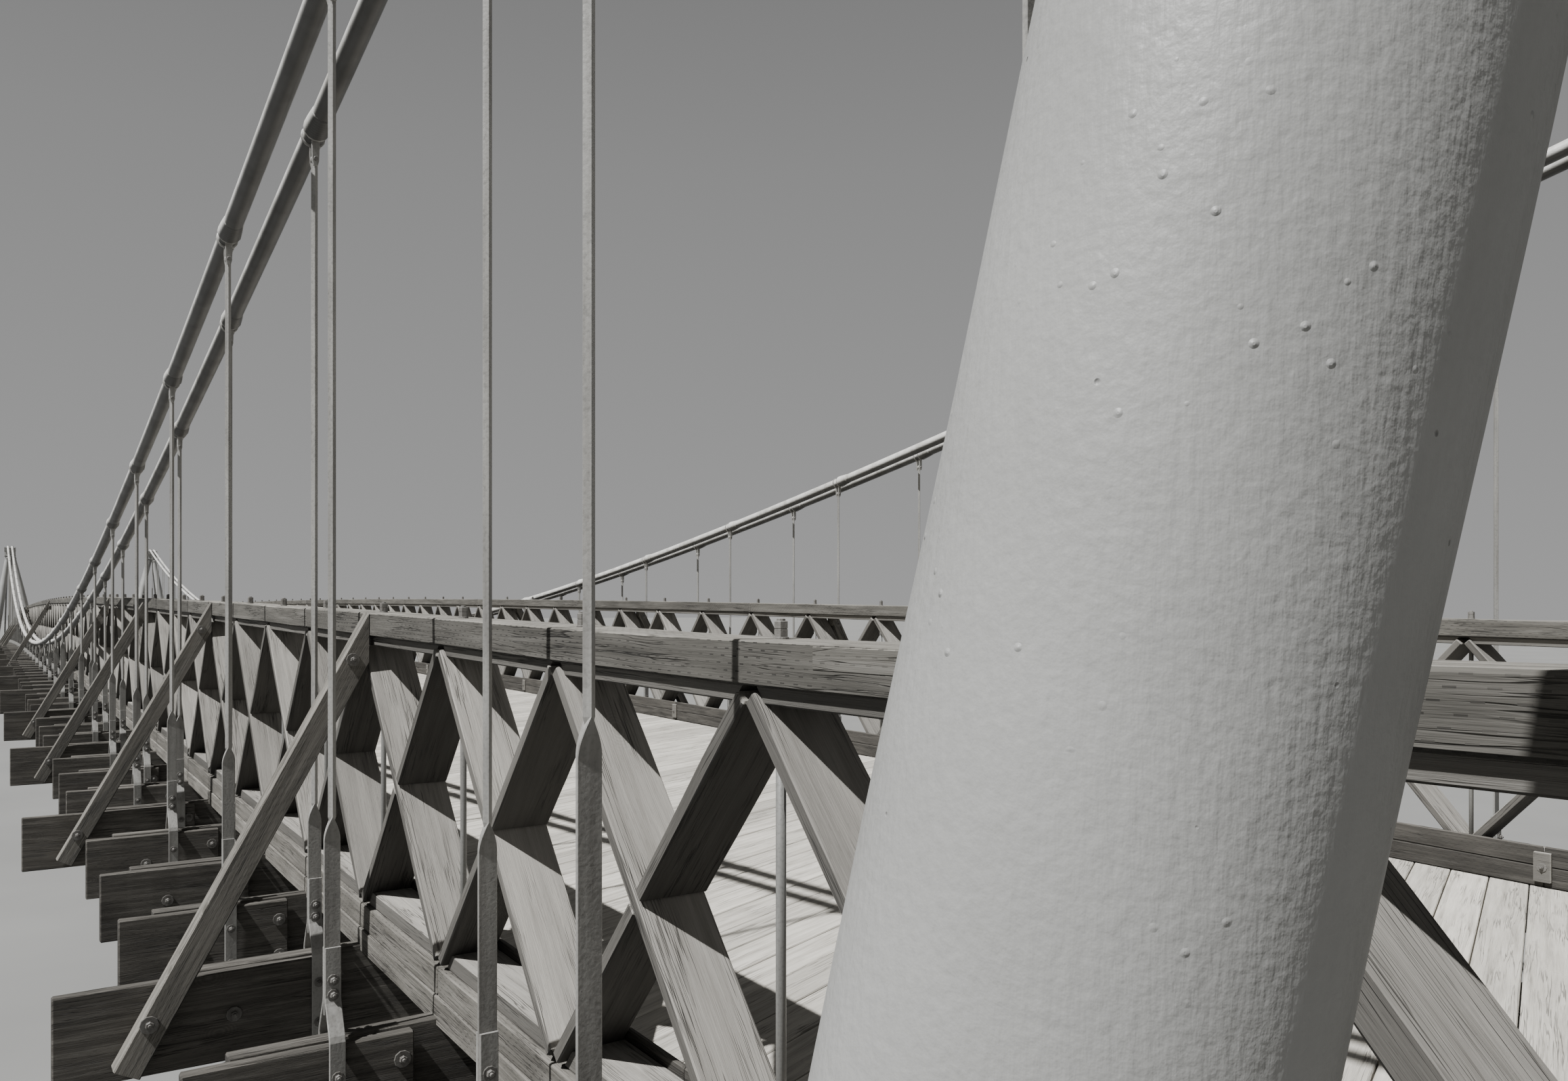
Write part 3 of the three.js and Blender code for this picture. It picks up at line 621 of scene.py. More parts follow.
def wrapped_wire(name, light, dull):
    """Turns of wrapping wire 0.42 mm apart, from the wave of u, under paint with a painted shade below."""
    material, add, shader = new_material(name)
    u, v, _ = add("SeparateXYZ", add("UVMap", uv_map="UVMap")).node.outputs
    slant = add("Math ADD", u, add("Math MULTIPLY", v, 0.03))
    turns = add("Math ABSOLUTE", add("Math SINE", add("Math MULTIPLY", slant, math.pi / WIRE_STEP)))
    place = add("TexCoord", out="Object")
    patch, flake = [add("TexNoise", {"Vector": place, "Scale": scale, "Detail": 5, "Roughness": roughness})
                    for scale, roughness in ((60.0, 0.6), (420.0, 0.7))]
    flake = add("ValToRGB", flake, stops=[(0.62, 0.0), (0.68, 1.0)])
    coat(add, shader, colour(light), [
        ("MIX", add("ValToRGB", patch, stops=[(0.4, 0.0), (0.7, 1.0)]), colour(dull)),
        ("MULTIPLY", 0.35, add("ValToRGB", turns, stops=[(0.0, 0.35), (0.45, 1.0)])),
        ("MIX", add("Math MULTIPLY", flake, 0.5), colour("#6b655c")),
        # Painted shade: the underside is darkened almost to black.
        ("MULTIPLY", 1.0, painted_shade_below(add, 0.5, 0.09))])
    gloss = add("Math ADD", add("Math MULTIPLY", patch, 0.3), 0.3)
    shader.id_data.links.new(gloss, shader.inputs["Roughness"])
    relief(add, shader, [(turns, 0.6, 0.12 * MM), (patch, 0.3, 0.3 * MM)])
    return material


cable_paint = wrapped_wire("cable_wire_wrapped_painted_white", "#c6c5c1", "#9c9a94")
print("material:", cable_paint.name, "nodes:", len(cable_paint.node_tree.nodes))

# %% [markdown]
# ### Stone
# The piers are squared blocks laid in lime mortar. Each block has its own tone. Two sizes of noise pit its
# face, and damp darkens it near the ground.

# %% Stone material


def stone(name, dark, mid, light, damp=1.0):
    """Two noises give the colour and the pitted face, and height and noise together say where it is damp."""
    material, add, shader = new_material(name)
    place = add("TexCoord", out="Object")
    tone = add("Attribute", attribute_name="tone", out="Fac")
    broad, fine = [add("TexNoise", {"Vector": place, "Scale": scale, "Detail": 5, "Roughness": roughness})
                   for scale, roughness in ((45.0, 0.55), (700.0, 0.65))]
    pits = add("TexVoronoi", {"Vector": place, "Scale": 350.0}, out="Distance")
    mottle = add("Math ADD", add("Math MULTIPLY", broad, 0.6), add("Math MULTIPLY", fine, 0.4))
    damp_and_side_shade = add("Math ADD", add("Math MULTIPLY", add("SeparateXYZ", place, out=2), 22.0), broad)
    coat(add, shader, add("ValToRGB", mottle, stops=[(0.32, dark), (0.5, mid), (0.68, light)]), [
        ("MULTIPLY", 1.0, add("ValToRGB", tone, stops=[(0.0, 0.72), (1.0, 1.1)])),
        ("MULTIPLY", damp, add("ValToRGB", damp_and_side_shade, stops=[(0.4, 0.5), (1.0, 1.0)]))])
    shader.inputs["Roughness"].default_value = 0.92
    shader.inputs["Specular IOR Level"].default_value = 0.2
    face = add("Math ADD", add("Math MULTIPLY", fine, 0.6), add("Math MULTIPLY", pits, 0.25))
    relief(add, shader, [(broad, 0.5, 1.2 * MM), (face, 0.8, 0.5 * MM)])
    return material


pier_stone = stone("ashlar_block_rock_faced", "#5f5b54", "#908b82", "#b0aba1")
mortar = stone("lime_mortar_weathered", "#6b675f", "#8a867d", "#9d998f", damp=0.6)
print("material:", pier_stone.name, "and", mortar.name, "nodes:", len(mortar.node_tree.nodes))

# %% [markdown]
# ## Floor beams and bottom chords
# Each floor beam is a deep plank on edge. Outside the truss a second plank is lapped on its near face with
# two bolts and runs on as the outrigger that the hangers hold. Two timbers one on the other, notched over
# the beams, make the bottom chord. Their butt joints fall on different beams. A curve with a bevel could
# bend the chords along the camber, but here a straight board is lifted by a function of x, so its joints
# fall exactly on the beams.

# %% Long timbers and their joints
CHORD_WIDTH = 22 * MM
CHORD_Y = TRUSS_OUTER - CHORD_WIDTH / 2
CHORD_LOW, CHORD_HIGH = -3 * MM, 19 * MM
REACH, LONG_REACH = 392 * MM, 425 * MM


def reach(k):
    """How far beam k runs out from the middle of the bridge."""
    return LONG_REACH if is_long(k) else REACH


def points(x, y, z):
    """Points from three coordinates, each one number or an array, stretched to the same length."""
    return np.stack(np.broadcast_arrays(x, y, z), axis=-1).astype(float)


def long_timber(ks, low, high, y, width, steps=8, slot=1, wear=0.1 * MM, gap=0.35 * MM):
    """Timbers end to end from station to station of ks, between two heights above the beams.

    They are bent along the camber: each ring is lifted by the beam top at its own x.
    """
    ks = np.asarray(ks, float)
    level = (low + high) / 2
    a, b = points(station(ks[:-1]) + gap, y, level), points(station(ks[1:]) - gap, y, level)
    return boards(a, b, (0.0, 1.0, 0.0), width, high - low, edge=0.5 * MM, steps=steps, wear=wear,
                  up=(0, 0, 1.0), lift=lambda x: beam_top(x / BAY + MID), slot=slot)


def joints(first, last, offset, spacing=4):
    """Stations of the butt joints: the ends, and every fourth beam between them from the given one."""
    inner = np.arange(math.ceil(first) + offset, last - 1, spacing)
    return np.concatenate([[first], inner[inner > first + 1], [last]])


print("lower chord joints of the first third:", joints(-0.125, 21.5, 2))

# %% Floor sections
OVERHANG = 0.125


def floor_section(first, last):
    """The beams from first to last with laps and bolts, and the timbers of both bottom chords on them."""
    ks = np.arange(first, last + (last == BAYS))
    x, top = station(ks), beam_top(ks)
    ends = np.array([reach(k) for k in ks])
    inner = np.minimum(ends - 16 * MM, 378 * MM)
    z = top - BEAM_DEPTH / 2 + 0.1 * MM
    skins = []
    for half in (1, -1):
        a, b = points(x + 2.9 * MM, 0.2 * MM * half, z), points(x + 2.9 * MM, half * inner, z)
        skins.append(boards(a, b, (0, 0, 1.0), BEAM_DEPTH, 8 * MM, edge=0.5 * MM, steps=10, wear=0.12 * MM))
        a = points(x - 4.2 * MM, half * 312 * MM, z - 0.6 * MM)
        b = points(x - 4.2 * MM, half * ends, z - 0.4 * MM)
        skins.append(boards(a, b, (0, 0, 1.0), BEAM_DEPTH - 0.8 * MM, 5.4 * MM, edge=0.6 * MM, steps=6,
                            wear=0.15 * MM))
        for y, drop in ((316.5, 11), (316.5, 30), (357, 20)):
            for way in (-1.0, 1.0):
                at = points(x + way * 6.9 * MM, half * y * MM, top - drop * MM)
                skins.extend(bolts(at, (way, 0, 0), 1.5 * MM, slot=2))
    start = first - (OVERHANG if first == 0 else 0.5)
    stop = last + OVERHANG if last == BAYS else last - 0.5
    for side in (1, -1):
        y = side * CHORD_Y
        skins.append(long_timber(joints(start, stop, 2), CHORD_LOW, 7.9 * MM, y, CHORD_WIDTH))
        skins.append(long_timber(joints(start, stop, 4), 8.2 * MM, CHORD_HIGH, y - side * 0.3 * MM,
                                 CHORD_WIDTH - 0.6 * MM))
    return skins


# %% Build the floor
FRAME_MATERIALS = [frame_timber, chord_timber, bolt_iron]
for i, (first, last) in enumerate(THIRDS):
    build(f"floor_timbers_{i + 1}", floor_section(first, last), FRAME_MATERIALS, "timber",
          f"floor_frame_{i + 1}")

# %% [markdown]
# ## Deck
# The planks lie at a slant of sixty-eight degrees to the roadway, which stiffens the floor against the
# wind. Each is a slanted strip whose two ends are sawn along the truss. Where a tower leg comes through,
# the planks stop short of it on both sides. A Boolean cut could do that too, but stopping each plank at a
# number leaves clean ends.

# %% One plank's rings
DECK_EDGE, DECK_END = 279.2 * MM, 3.7095
PLANK, PLANK_HALF_THICK, PLANK_GAP = 20 * MM, 2.35 * MM, 0.35 * MM
SLANT = math.radians(68)
PLANK_SPACING = PLANK / math.sin(SLANT)


def plank_rings(x0, y0, y1, slip):
    """Rings of slanted planks through (x0, 0), from y0 to y1, each ring lying on the camber at its own x."""
    y = y0[:, None] + (y1 - y0)[:, None] * np.linspace(0, 1, 11)
    x = x0[:, None] - y / math.tan(SLANT)
    a = np.full_like(x, PLANK_SPACING / 2 - PLANK_GAP)
    dx, dz = chamfered(a, np.full_like(x, PLANK_HALF_THICK), np.full_like(x, 0.45 * MM))
    left = np.clip(x[..., None] + dx, -DECK_END, DECK_END)
    z = beam_top(left / BAY + MID) + PLANK_HALF_THICK + 1.0 * MM + dz + slip[:, None, None] * 0.25 * MM
    return points(left, y[..., None], z)


print("planks come every", round(PLANK_SPACING * 1000, 2), "mm along the bridge")

# %% Where the planks start and stop
LEG_FOCUS, LEG_TOP, PIER_TOP = 680 * MM, 604 * MM, 101.3 * MM
# Each leg's lean: how far it moves, for each unit of drop, along the bridge and in towards the roadway.
LEAN = {"outer": (0.157, -0.132), "inner": (0.135, 0.192)}
NOTCH, NOTCH_LEVEL = 23 * MM, 158 * MM
NOTCH_X, NOTCH_Y = [middle - lean * (LEG_FOCUS - NOTCH_LEVEL)
                    for middle, lean in zip((TOWER_X, TOWER_Y), LEAN["inner"])]


def plank_cuts(x0):
    """The stretches of the plank through (x0, 0): from edge to edge, less the notch of any leg it crosses."""
    cuts = [(-DECK_EDGE, DECK_EDGE)]
    for way in (1, -1):
        for side in (1, -1):
            if abs(x0 - side * NOTCH_Y / math.tan(SLANT) - way * NOTCH_X) < NOTCH:
                low, high = side * NOTCH_Y - NOTCH, side * NOTCH_Y + NOTCH
                cuts = [part for a, b in cuts for part in ((a, min(b, low)), (max(a, high), b))
                        if part[1] > part[0]]
    return [(x0, a, b) for a, b in cuts if min(abs(x0 - y / math.tan(SLANT)) for y in (a, b)) < DECK_END]


span = DECK_END + DECK_EDGE / math.tan(SLANT)
cuts = np.array([cut for x0 in np.arange(-span, span, PLANK_SPACING) for cut in plank_cuts(x0)])
deck_skin = loft(plank_rings(*cuts.T, rng.random(len(cuts)))[:, :, ::-1])
print("planks:", len(cuts), "cut short:", int((np.ptp(cuts[:, 1:], axis=1) < 2 * DECK_EDGE - MM).sum()))

# %% Nails and the finished deck
kx, ky = [g.ravel() for g in np.meshgrid(station(np.arange(BAYS + 1)), np.arange(-260, 261, 21.6) * MM)]
nails = points(kx, ky, beam_top(kx / BAY + MID) + 5.75 * MM)
nail_skin = turned(nails, (0, 0, 1.0), [(-0.2 * MM, 0.7 * MM), (0.06 * MM, 0.55 * MM)], sides=6, slot=1)
print("nails:", len(nails))
build("deck_planks", [deck_skin, nail_skin], [deck_timber, bolt_iron], "planking", "deck_planking")

# %% [markdown]
# ## Trusses
# In every panel two planks cross. One runs whole from corner to corner, the other is cut at the crossing
# and butts against it from both sides. Their broad faces lie across the truss, as wide as the chords, so
# from the walkway one looks at their edges. Blocks fill the gaps between their ends, on the bottom chord
# and under the cap. A round tie rod stands at each panel point and pulls the chords together on the planks.
# In the end panels the plank that rises from the tower is thicker, as an end post. Two kick boards run
# along the inside, and a bolted cleat covers each of their joints. An Array modifier could repeat one
# panel, but every panel sits at its own height here.

# %% Blocks between the planks
WEB_LOW, WEB_HIGH = 19.6 * MM, 145.5 * MM
WEB_RISE = WEB_HIGH - WEB_LOW


def fillers(k, low, high, y, width):
    """One block a bay, its ends cut to the slope of the planks and 0.4 mm clear of them.

    A plank's side stands 2.8 mm from its axis along the bridge, and the axis moves by BAY as it rises.
    """
    dy, dz = chamfered(np.array(width / 2), np.array((high - low) / 2), np.array(0.4 * MM))
    level = (low + high) / 2 + dz
    near = np.minimum(level - WEB_LOW, WEB_HIGH - level)
    cut = 3.2 * MM + near * BAY / WEB_RISE
    x = np.stack([station(k)[:, None] + cut, station(k + 1)[:, None] - cut], axis=1)
    return loft(points(x, y + dy, beam_top(x / BAY + MID) + level))


print("the planks rise at", round(math.degrees(math.atan2(WEB_RISE, BAY)), 1), "degrees")

# %% Kick boards
CLEATS = np.arange(2.6, BAYS - 0.5, 4.47)
KICK_THICK = 2.0 * MM


def kick_boards(first, last, side):
    """Two boards one on the other along the inside, jointed at the cleats, which come every 4.47 bays."""
    here = CLEATS[(CLEATS > first) & (CLEATS < last)]
    stops = np.concatenate([[max(first, 0.9)], here, [min(last, BAYS - 0.9)]])
    y = side * (TRUSS_OUTER - CHORD_WIDTH - 1.2 * MM)
    skins = [long_timber(stops, low * MM, high * MM, y, KICK_THICK, slot=2)
             for low, high in ((6.3, 17.6), (17.9, 29.0))]
    face = points(station(here), y - side * 2.1 * MM, beam_top(here) + 17.5 * MM)
    half = np.array([4.5 * MM, 0, 0])
    skins.append(boards(face - half, face + half, (0, 0, 1.0), 17 * MM, KICK_THICK, edge=0.35 * MM,
                        tone=0.95))
    skins.extend(bolts(face - [0, side * 1.0 * MM, 0], (0, -float(side), 0), 1.2 * MM, slot=1))
    return skins


print("cleats on each side:", len(CLEATS))

# %% Web planks
POST_SHIFT = 8 * MM


def web_section(first, last, side):
    """Crossed planks of the panels from first to last, with their blocks and kick boards.

    The first plank of a panel rises along the bridge and runs whole. The second is cut where they cross: the
    gap is half the first one's thickness over the sine of the angle between them.
    """
    k = np.arange(first, last)
    y = side * CHORD_Y
    ax, bx, foot, next_foot = station(k), station(k + 1), beam_top(k), beam_top(k + 1)
    rising = points(ax, y, foot + WEB_LOW), points(bx, y, next_foot + WEB_HIGH)
    falling = points(ax, y, foot + WEB_HIGH), points(bx, y, next_foot + WEB_LOW)
    skins = []
    for number, (a, b) in enumerate((rising, falling)):
        way = (b - a) / np.linalg.norm(b - a, axis=1, keepdims=True)
        inset = 2.4 * MM / (WEB_RISE / math.hypot(WEB_RISE, BAY))
        a, b = a + way * inset, b - way * inset
        post = k == (0 if number == 0 else BAYS - 1)
        if post.any():
            out = np.array([(number * 2 - 1) * POST_SHIFT, 0, 0])
            skins.append(boards(a[post] + out, b[post] + out, (0, 1.0, 0), CHORD_WIDTH - 0.3 * MM, 7.2 * MM,
                                edge=0.6 * MM, steps=6, wear=0.1 * MM))
            a, b, way = a[~post], b[~post], way[~post]
        gap = 2.6 * MM / math.sin(2 * math.atan2(WEB_RISE, BAY))
        mid = (a + b) / 2
        halves = ((a, mid - way * gap), (mid + way * gap, b))
        for p, q in halves if number else ((a, b),):
            skins.append(boards(p, q, (0, 1.0, 0), CHORD_WIDTH - (0.9 if number else 0.5) * MM, 4.2 * MM,
                                edge=0.45 * MM, steps=3 if number else 5, wear=0.1 * MM))
    skins.append(fillers(k, 19.1 * MM, 25.5 * MM, side * (CHORD_Y - 1.75 * MM), CHORD_WIDTH - 3.5 * MM))
    skins.append(fillers(k, 141.6 * MM, 145.9 * MM, y, CHORD_WIDTH - 4 * MM))
    return skins + kick_boards(first, last, side)


print("panels:", BAYS, "and planks in a truss:", BAYS * 3)

# %% Top chords and tie rods
CAP_DEPTH = 10.5 * MM
WASHER = [(0, 1.8), (0.1, 1.95), (0.5, 1.95), (0.6, 1.85)]
TWO_NUTS = [(0.5, 1.7), (0.6, 1.82), (2.4, 1.82), (2.5, 1.66), (2.6, 1.66), (2.7, 1.82), (4.3, 1.82),
            (4.5, 1.6)]
ROD_TIP = [(4.4, 1.05), (4.9, 1.05), (5.1, 0.8)]


def chord_section(side):
    """The cap timbers over the whole truss, and a tie rod with its washer and two nuts at every beam."""
    y = side * CHORD_Y
    stops = np.concatenate([[-OVERHANG], np.arange(6, 61, 4), [BAYS + OVERHANG]])
    skins = [long_timber(stops, TRUSS_HEIGHT - CAP_DEPTH, TRUSS_HEIGHT, y, CHORD_WIDTH, slot=0, steps=12,
                         wear=0.12 * MM)]
    x, top = station(np.arange(BAYS + 1)), beam_top(np.arange(BAYS + 1))
    rod = np.stack([points(x, y, top + level * MM) for level in (-2, 80, 157)], axis=1)
    skins.append(tube(rod, 1.28 * MM, sides=12, side_way=(1.0, 0, 0), slot=3))
    seat = points(x, y, top + TRUSS_HEIGHT - 0.1 * MM)
    for profile, sides in ((WASHER, 16), (TWO_NUTS, 6), (ROD_TIP, 10)):
        skins.append(turned(seat, (0, 0, 1.0), np.array(profile) * MM, sides=sides, spin=0.4, smooth=False,
                            slot=2))
    return skins


print("two nuts stand", TWO_NUTS[-1][0], "mm over the cap")

# %% Knee braces


def brace_section(side):
    """Knee braces: a parallelogram of timber from the beam's near face to the top chord, its head cut plumb.

    Its foot is cut square, so the lower corner there lies one depth away at a right angle to the slope.
    """
    k = np.array(BRACED)
    x, top = station(k) - BEAM_HALF - 0.3 * MM - BRACE_HALF, beam_top(k)
    foot = points(x, side * BRACE_FOOT, top - BRACE_DROP)
    head = points(x, side * (BRACE_HEAD + 0.1 * MM), top + TRUSS_HEIGHT - 0.2 * MM)
    across = BRACE_DEPTH / math.hypot(1, BRACE_SLOPE)
    foot_low = foot + [0, -side * across * BRACE_SLOPE, -across]
    head_low = head - [0, 0, BRACE_DEPTH * math.hypot(1, BRACE_SLOPE)]
    edge, half = 0.6 * MM, np.array([BRACE_HALF, 0, 0])
    tuck = np.array([edge, 0, 0])
    rings = []
    for t in np.linspace(0, 1, 9):
        upper, lower = foot + (head - foot) * t, foot_low + (head_low - foot_low) * t
        ease = (upper - lower) / np.linalg.norm(upper - lower, axis=1, keepdims=True) * edge
        corners = [lower + half + ease, upper + half - ease, upper + half - tuck, upper - half + tuck,
                   upper - half - ease, lower - half + ease, lower - half + tuck, lower + half - tuck]
        rings.append(np.stack(corners, axis=1))
    rings = np.stack(rings, axis=1)
    skins = [loft(rings[:, :, ::-1] if side > 0 else rings, slot=1)]
    for y, level, size in ((391, -15, 1.7), (309, 135, 1.4)):
        at = points(x - BRACE_HALF, side * y * MM, top + level * MM)
        skins.extend(bolts(at, (-1.0, 0, 0), size * MM, slot=2))
    return skins


print("knee braces on each side:", len(BRACED), "steepness:", round(BRACE_SLOPE, 2))

# %% Build the trusses
CHORD_MATERIALS = [cap_timber, chord_timber, bolt_iron, rod_steel]
for name, side in SIDES.items():
    for i, (first, last) in enumerate(THIRDS):
        build(f"web_planks_{name}_{i + 1}", web_section(first, last, side),
              [web_timber, bolt_iron, frame_timber], "web_planks", f"truss_{name}_web_{i + 1}")
    skins = chord_section(side) + brace_section(side)
    a, b = [(station(k), side * (TRUSS_OUTER - 0.55 * MM), beam_top(k) + 153.3 * MM) for k in (0.85, 1.75)]
    skins.append(boards(a, b, (0, 0, 1.0), 5.4 * MM, 1.5 * MM, edge=0.3 * MM, slot=0, tone=1.0))
    build(f"top_chord_timbers_{name}", skins, CHORD_MATERIALS, "timber", f"truss_{name}_top_chord")

# %% [markdown]
# ## Cables and hangers
# Each cable runs from its anchor over the tower, along the parabola and down again. A hanger starts at two
# narrow bands round the cable. A bulge of seizing wire, thick beside them and thin uphill, keeps them from
# slipping. The square rod hangs from a lug, with a corner towards the tower. Lower down it is forged flat,
# with a pointed shoulder like a paddle's, and the strap ends between two plates that spread like a roof
# over the floor beam and go round it. A curve object could carry the cable, but rings of our own let its
# radius waver from place to place.

# %% A cable's path
SADDLE = 30 * MM
ANCHOR_TALL, ANCHOR_LONG, PLATE_LOW = 75 * MM, 170 * MM, 14 * MM
ANCHOR_X = TOWER_X + (CABLE_TOP - ANCHOR_TALL * 0.62) / BACKSTAY_SLOPE


def cable_path(y):
    """Points from end to end: the straight backstay, a smooth arch over the saddle, and the parabola.

    The arch is a cubic. Its height and slope agree with the parabola at one end, the backstay at the other.
    """
    into, onto = TOWER_X - SADDLE, TOWER_X + SADDLE
    z_into, z_onto = float(cable_height(into)), CABLE_TOP - SADDLE * BACKSTAY_SLOPE
    slope, h = cable_slope(into), 2 * SADDLE
    main = np.linspace(0, into, 90)
    t = np.linspace(0, 1, 13)[1:]
    arch = (2 * t ** 3 - 3 * t ** 2 + 1) * z_into + (t ** 3 - 2 * t ** 2 + t) * h * slope
    arch = arch + (3 * t ** 2 - 2 * t ** 3) * z_onto - (t ** 3 - t ** 2) * h * BACKSTAY_SLOPE
    far = np.linspace(onto, ANCHOR_X, 24)[1:]
    x = np.concatenate([main, into + h * t, far])
    z = np.concatenate([cable_height(main), arch, CABLE_TOP - (far - TOWER_X) * BACKSTAY_SLOPE])
    return points(np.concatenate([-x[:0:-1], x]), y, np.concatenate([z[:0:-1], z]))


print("cable points:", len(cable_path(0.0)), "from", -round(ANCHOR_X, 4), "to", round(ANCHOR_X, 4))

# %% Clamps on the cable


def clamps(centre, along, slope):
    """Two bands round the cable at each hanger, and a reel of eight turns of wire on their uphill side.

    The reel's radius sinks from turn to turn by the 1.4 power of the distance.
    """
    r = CABLE_RADIUS
    skins = []
    for start in (-3.9 * MM, 2.4 * MM):
        band = [(start, r), (start + 0.2 * MM, r * 1.16), (start + 1.2 * MM, r * 1.16), (start + 1.4 * MM, r)]
        skins.append(turned(centre, along, band, sides=14, slot=1))
    reel = [(3.9 * MM, r * 0.98), (4.0 * MM, r * 1.2), (4.6 * MM, r * 1.26)]
    for i in range(8):
        swell = 1.25 - 0.2 * ((i + 0.5) / 8) ** 1.4
        reel += [(5.2 * MM + i * 1.6 * MM, r * (swell - 0.02)), (6.0 * MM + i * 1.6 * MM, r * swell)]
    reel.append((18.6 * MM, r))
    uphill = along * np.sign(slope + 1e-9)[:, None]
    return skins + [turned(centre, uphill, reel, sides=14, slot=0)]


# %% Hangers


def strap_top(k, base):
    """Where the rod flattens: base above the beam, higher bay by bay near a tower, and 285 mm next to one."""
    near = np.minimum(k, BAYS - k)
    return beam_top(k) + np.where(near == 1, 285 * MM, base + 29 * MM * np.maximum(0, 4 - near))


def hanger_skins(y, odd, base):
    """All hangers of one cable. Slots: 0 cable paint, 1 strap paint, 2 nuts and bolts.

    Below the rod's point the strap widens with the sine of the way down, over 9 mm, and thins evenly.
    """
    k = np.arange(1 if odd else 2, BAYS, 2)
    x, top = station(k), beam_top(k)
    axis, slope = cable_height(x), cable_slope(x)
    along = points(1.0, 0.0, slope)
    along /= np.linalg.norm(along, axis=1, keepdims=True)
    skins = clamps(points(x, y, axis), along, slope)
    lug_top = axis - CABLE_RADIUS * 0.9
    lug = np.stack([points(x, y, lug_top + level * MM) for level in (2, -5, -9, -11)], axis=1)
    for dx in (-2.0 * MM, 2.0 * MM):
        skins.append(straps(lug + [dx, 0, 0], np.array([1.7, 1.7, 1.5, 1.0]) * MM, 0.7 * MM, (0, 1.0, 0),
                            slot=1))
    pin = points(x, y, lug_top - 8 * MM)
    for profile, sides, slot in (([(-3.6, 0.8), (-3.4, 1.0), (3.4, 1.0), (3.6, 0.8)], 8, 2),
                                 ([(-1.2, 1.7), (-1.0, 1.9), (1.0, 1.9), (1.2, 1.7)], 10, 1)):
        skins.append(turned(pin, (1.0, 0, 0), np.array(profile) * MM, sides=sides, slot=slot))
    flat = np.minimum(strap_top(k, base), axis - 34 * MM)
    rod_top, point = lug_top - 9 * MM, flat + 4.5 * MM
    z = np.stack([rod_top, (rod_top + point) / 2, point, flat + 1.5 * MM], axis=1)
    half = np.array([1.07, 1.07, 1.07, 0.5]) * MM
    skins.append(straps(points(x[:, None], y, z), half, half, (0, 1.0, 0), spin=math.pi / 4, edge=0.1 * MM,
                        slot=1))
    t = np.linspace(0, 1, 9)
    z = np.concatenate([point[:, None] - t * 9 * MM, np.stack([top + 30 * MM, top + 9 * MM], 1)], axis=1)
    wide = 0.3 * MM + np.r_[np.sin(t * math.pi / 2), 1, 1] * 2.65 * MM
    thick = (1.45 - 0.93 * np.r_[t, 1, 1]) * MM
    skins.append(straps(points(x[:, None], y, z), wide, thick, (0, 1.0, 0), edge=0.2 * MM, slot=1))
    return skins, x, top


# %% Stirrups
STIRRUP_DOWN = [(-1.3, 34), (-1.3, 24), (-1.3, 15.5), (-1.9, 13.4), (-7.6, 2.6), (-8.2, 0.6), (-8.2, -20),
                (-8.2, -40.4), (-7.2, -41.4)]
STIRRUP = STIRRUP_DOWN + [(0, -41.4)] + [(-dx, dz) for dx, dz in STIRRUP_DOWN[::-1]]


def stirrups(x, y, top):
    """Two plates grip the strap above the beam, spread to its faces and meet below: the path is a long U."""
    path = np.stack([points(x + dx * MM, y, top + dz * MM) for dx, dz in STIRRUP], axis=1)
    skins = [straps(path, 2.9 * MM, 0.6 * MM, (0, 1.0, 0), slot=1)]
    for out, level in ((1.9, 22), (1.9, 16.5), (8.8, -12), (8.8, -30)):
        for way in (-1.0, 1.0):
            at = points(x + way * out * MM, y, top + level * MM)
            skins.extend(bolts(at, (way, 0, 0), 1.3 * MM, slot=2, plate=1.7))
    return skins


print("points along a stirrup:", len(STIRRUP))

# %% Build the cables
CABLE_MATERIALS = [cable_paint, hanger_paint, bolt_iron]
for name, side in SIDES.items():
    for place, (y, odd, base) in CABLES.items():
        path = cable_path(side * y)
        skins = [tube(path, CABLE_RADIUS * (1 + rng.normal(0, 0.006, len(path))), sides=18)]
        more, x, top = hanger_skins(side * y, odd, base)
        skins += more + stirrups(x, side * y, top)
        build(f"wire_cable_{name}_{place}", skins, CABLE_MATERIALS, "painted_wire", f"cable_{name}_{place}")

# %% [markdown]
# ## Towers
# A leg is a tapered column on a round flange, cast whole. It leans two ways, which shears a straight
# column: every ring stays level and slides sideways by the lean times its height below the meeting point.
# Turning a column would tilt its flange off the masonry. A faint swelling makes the outline live. The crown
# is a box casting with ribs, a grooved saddle, and a keeper over each cable.

# %% Tower legs
COLUMN = [(0, 28.6), (0.4, 29), (6.4, 29), (7.0, 28.4), (7.2, 22.5), (8.2, 20.6), (10.5, 19.3), (14, 18.7),
          (60, 18.6), (150, 18.3), (220, 17.9), (278, 17.4), (360, 15.2), (440, 12.4), (486, 10.8),
          (490, 11.0), (492, 12.4), (496, 12.6), (498, 11.6), (500, 10.6), (502.4, 10.4)]
COLUMN_SIDES = 40
FLANGE_TOP, FLANGE_BOLTS = 7 * MM, 24.5 * MM


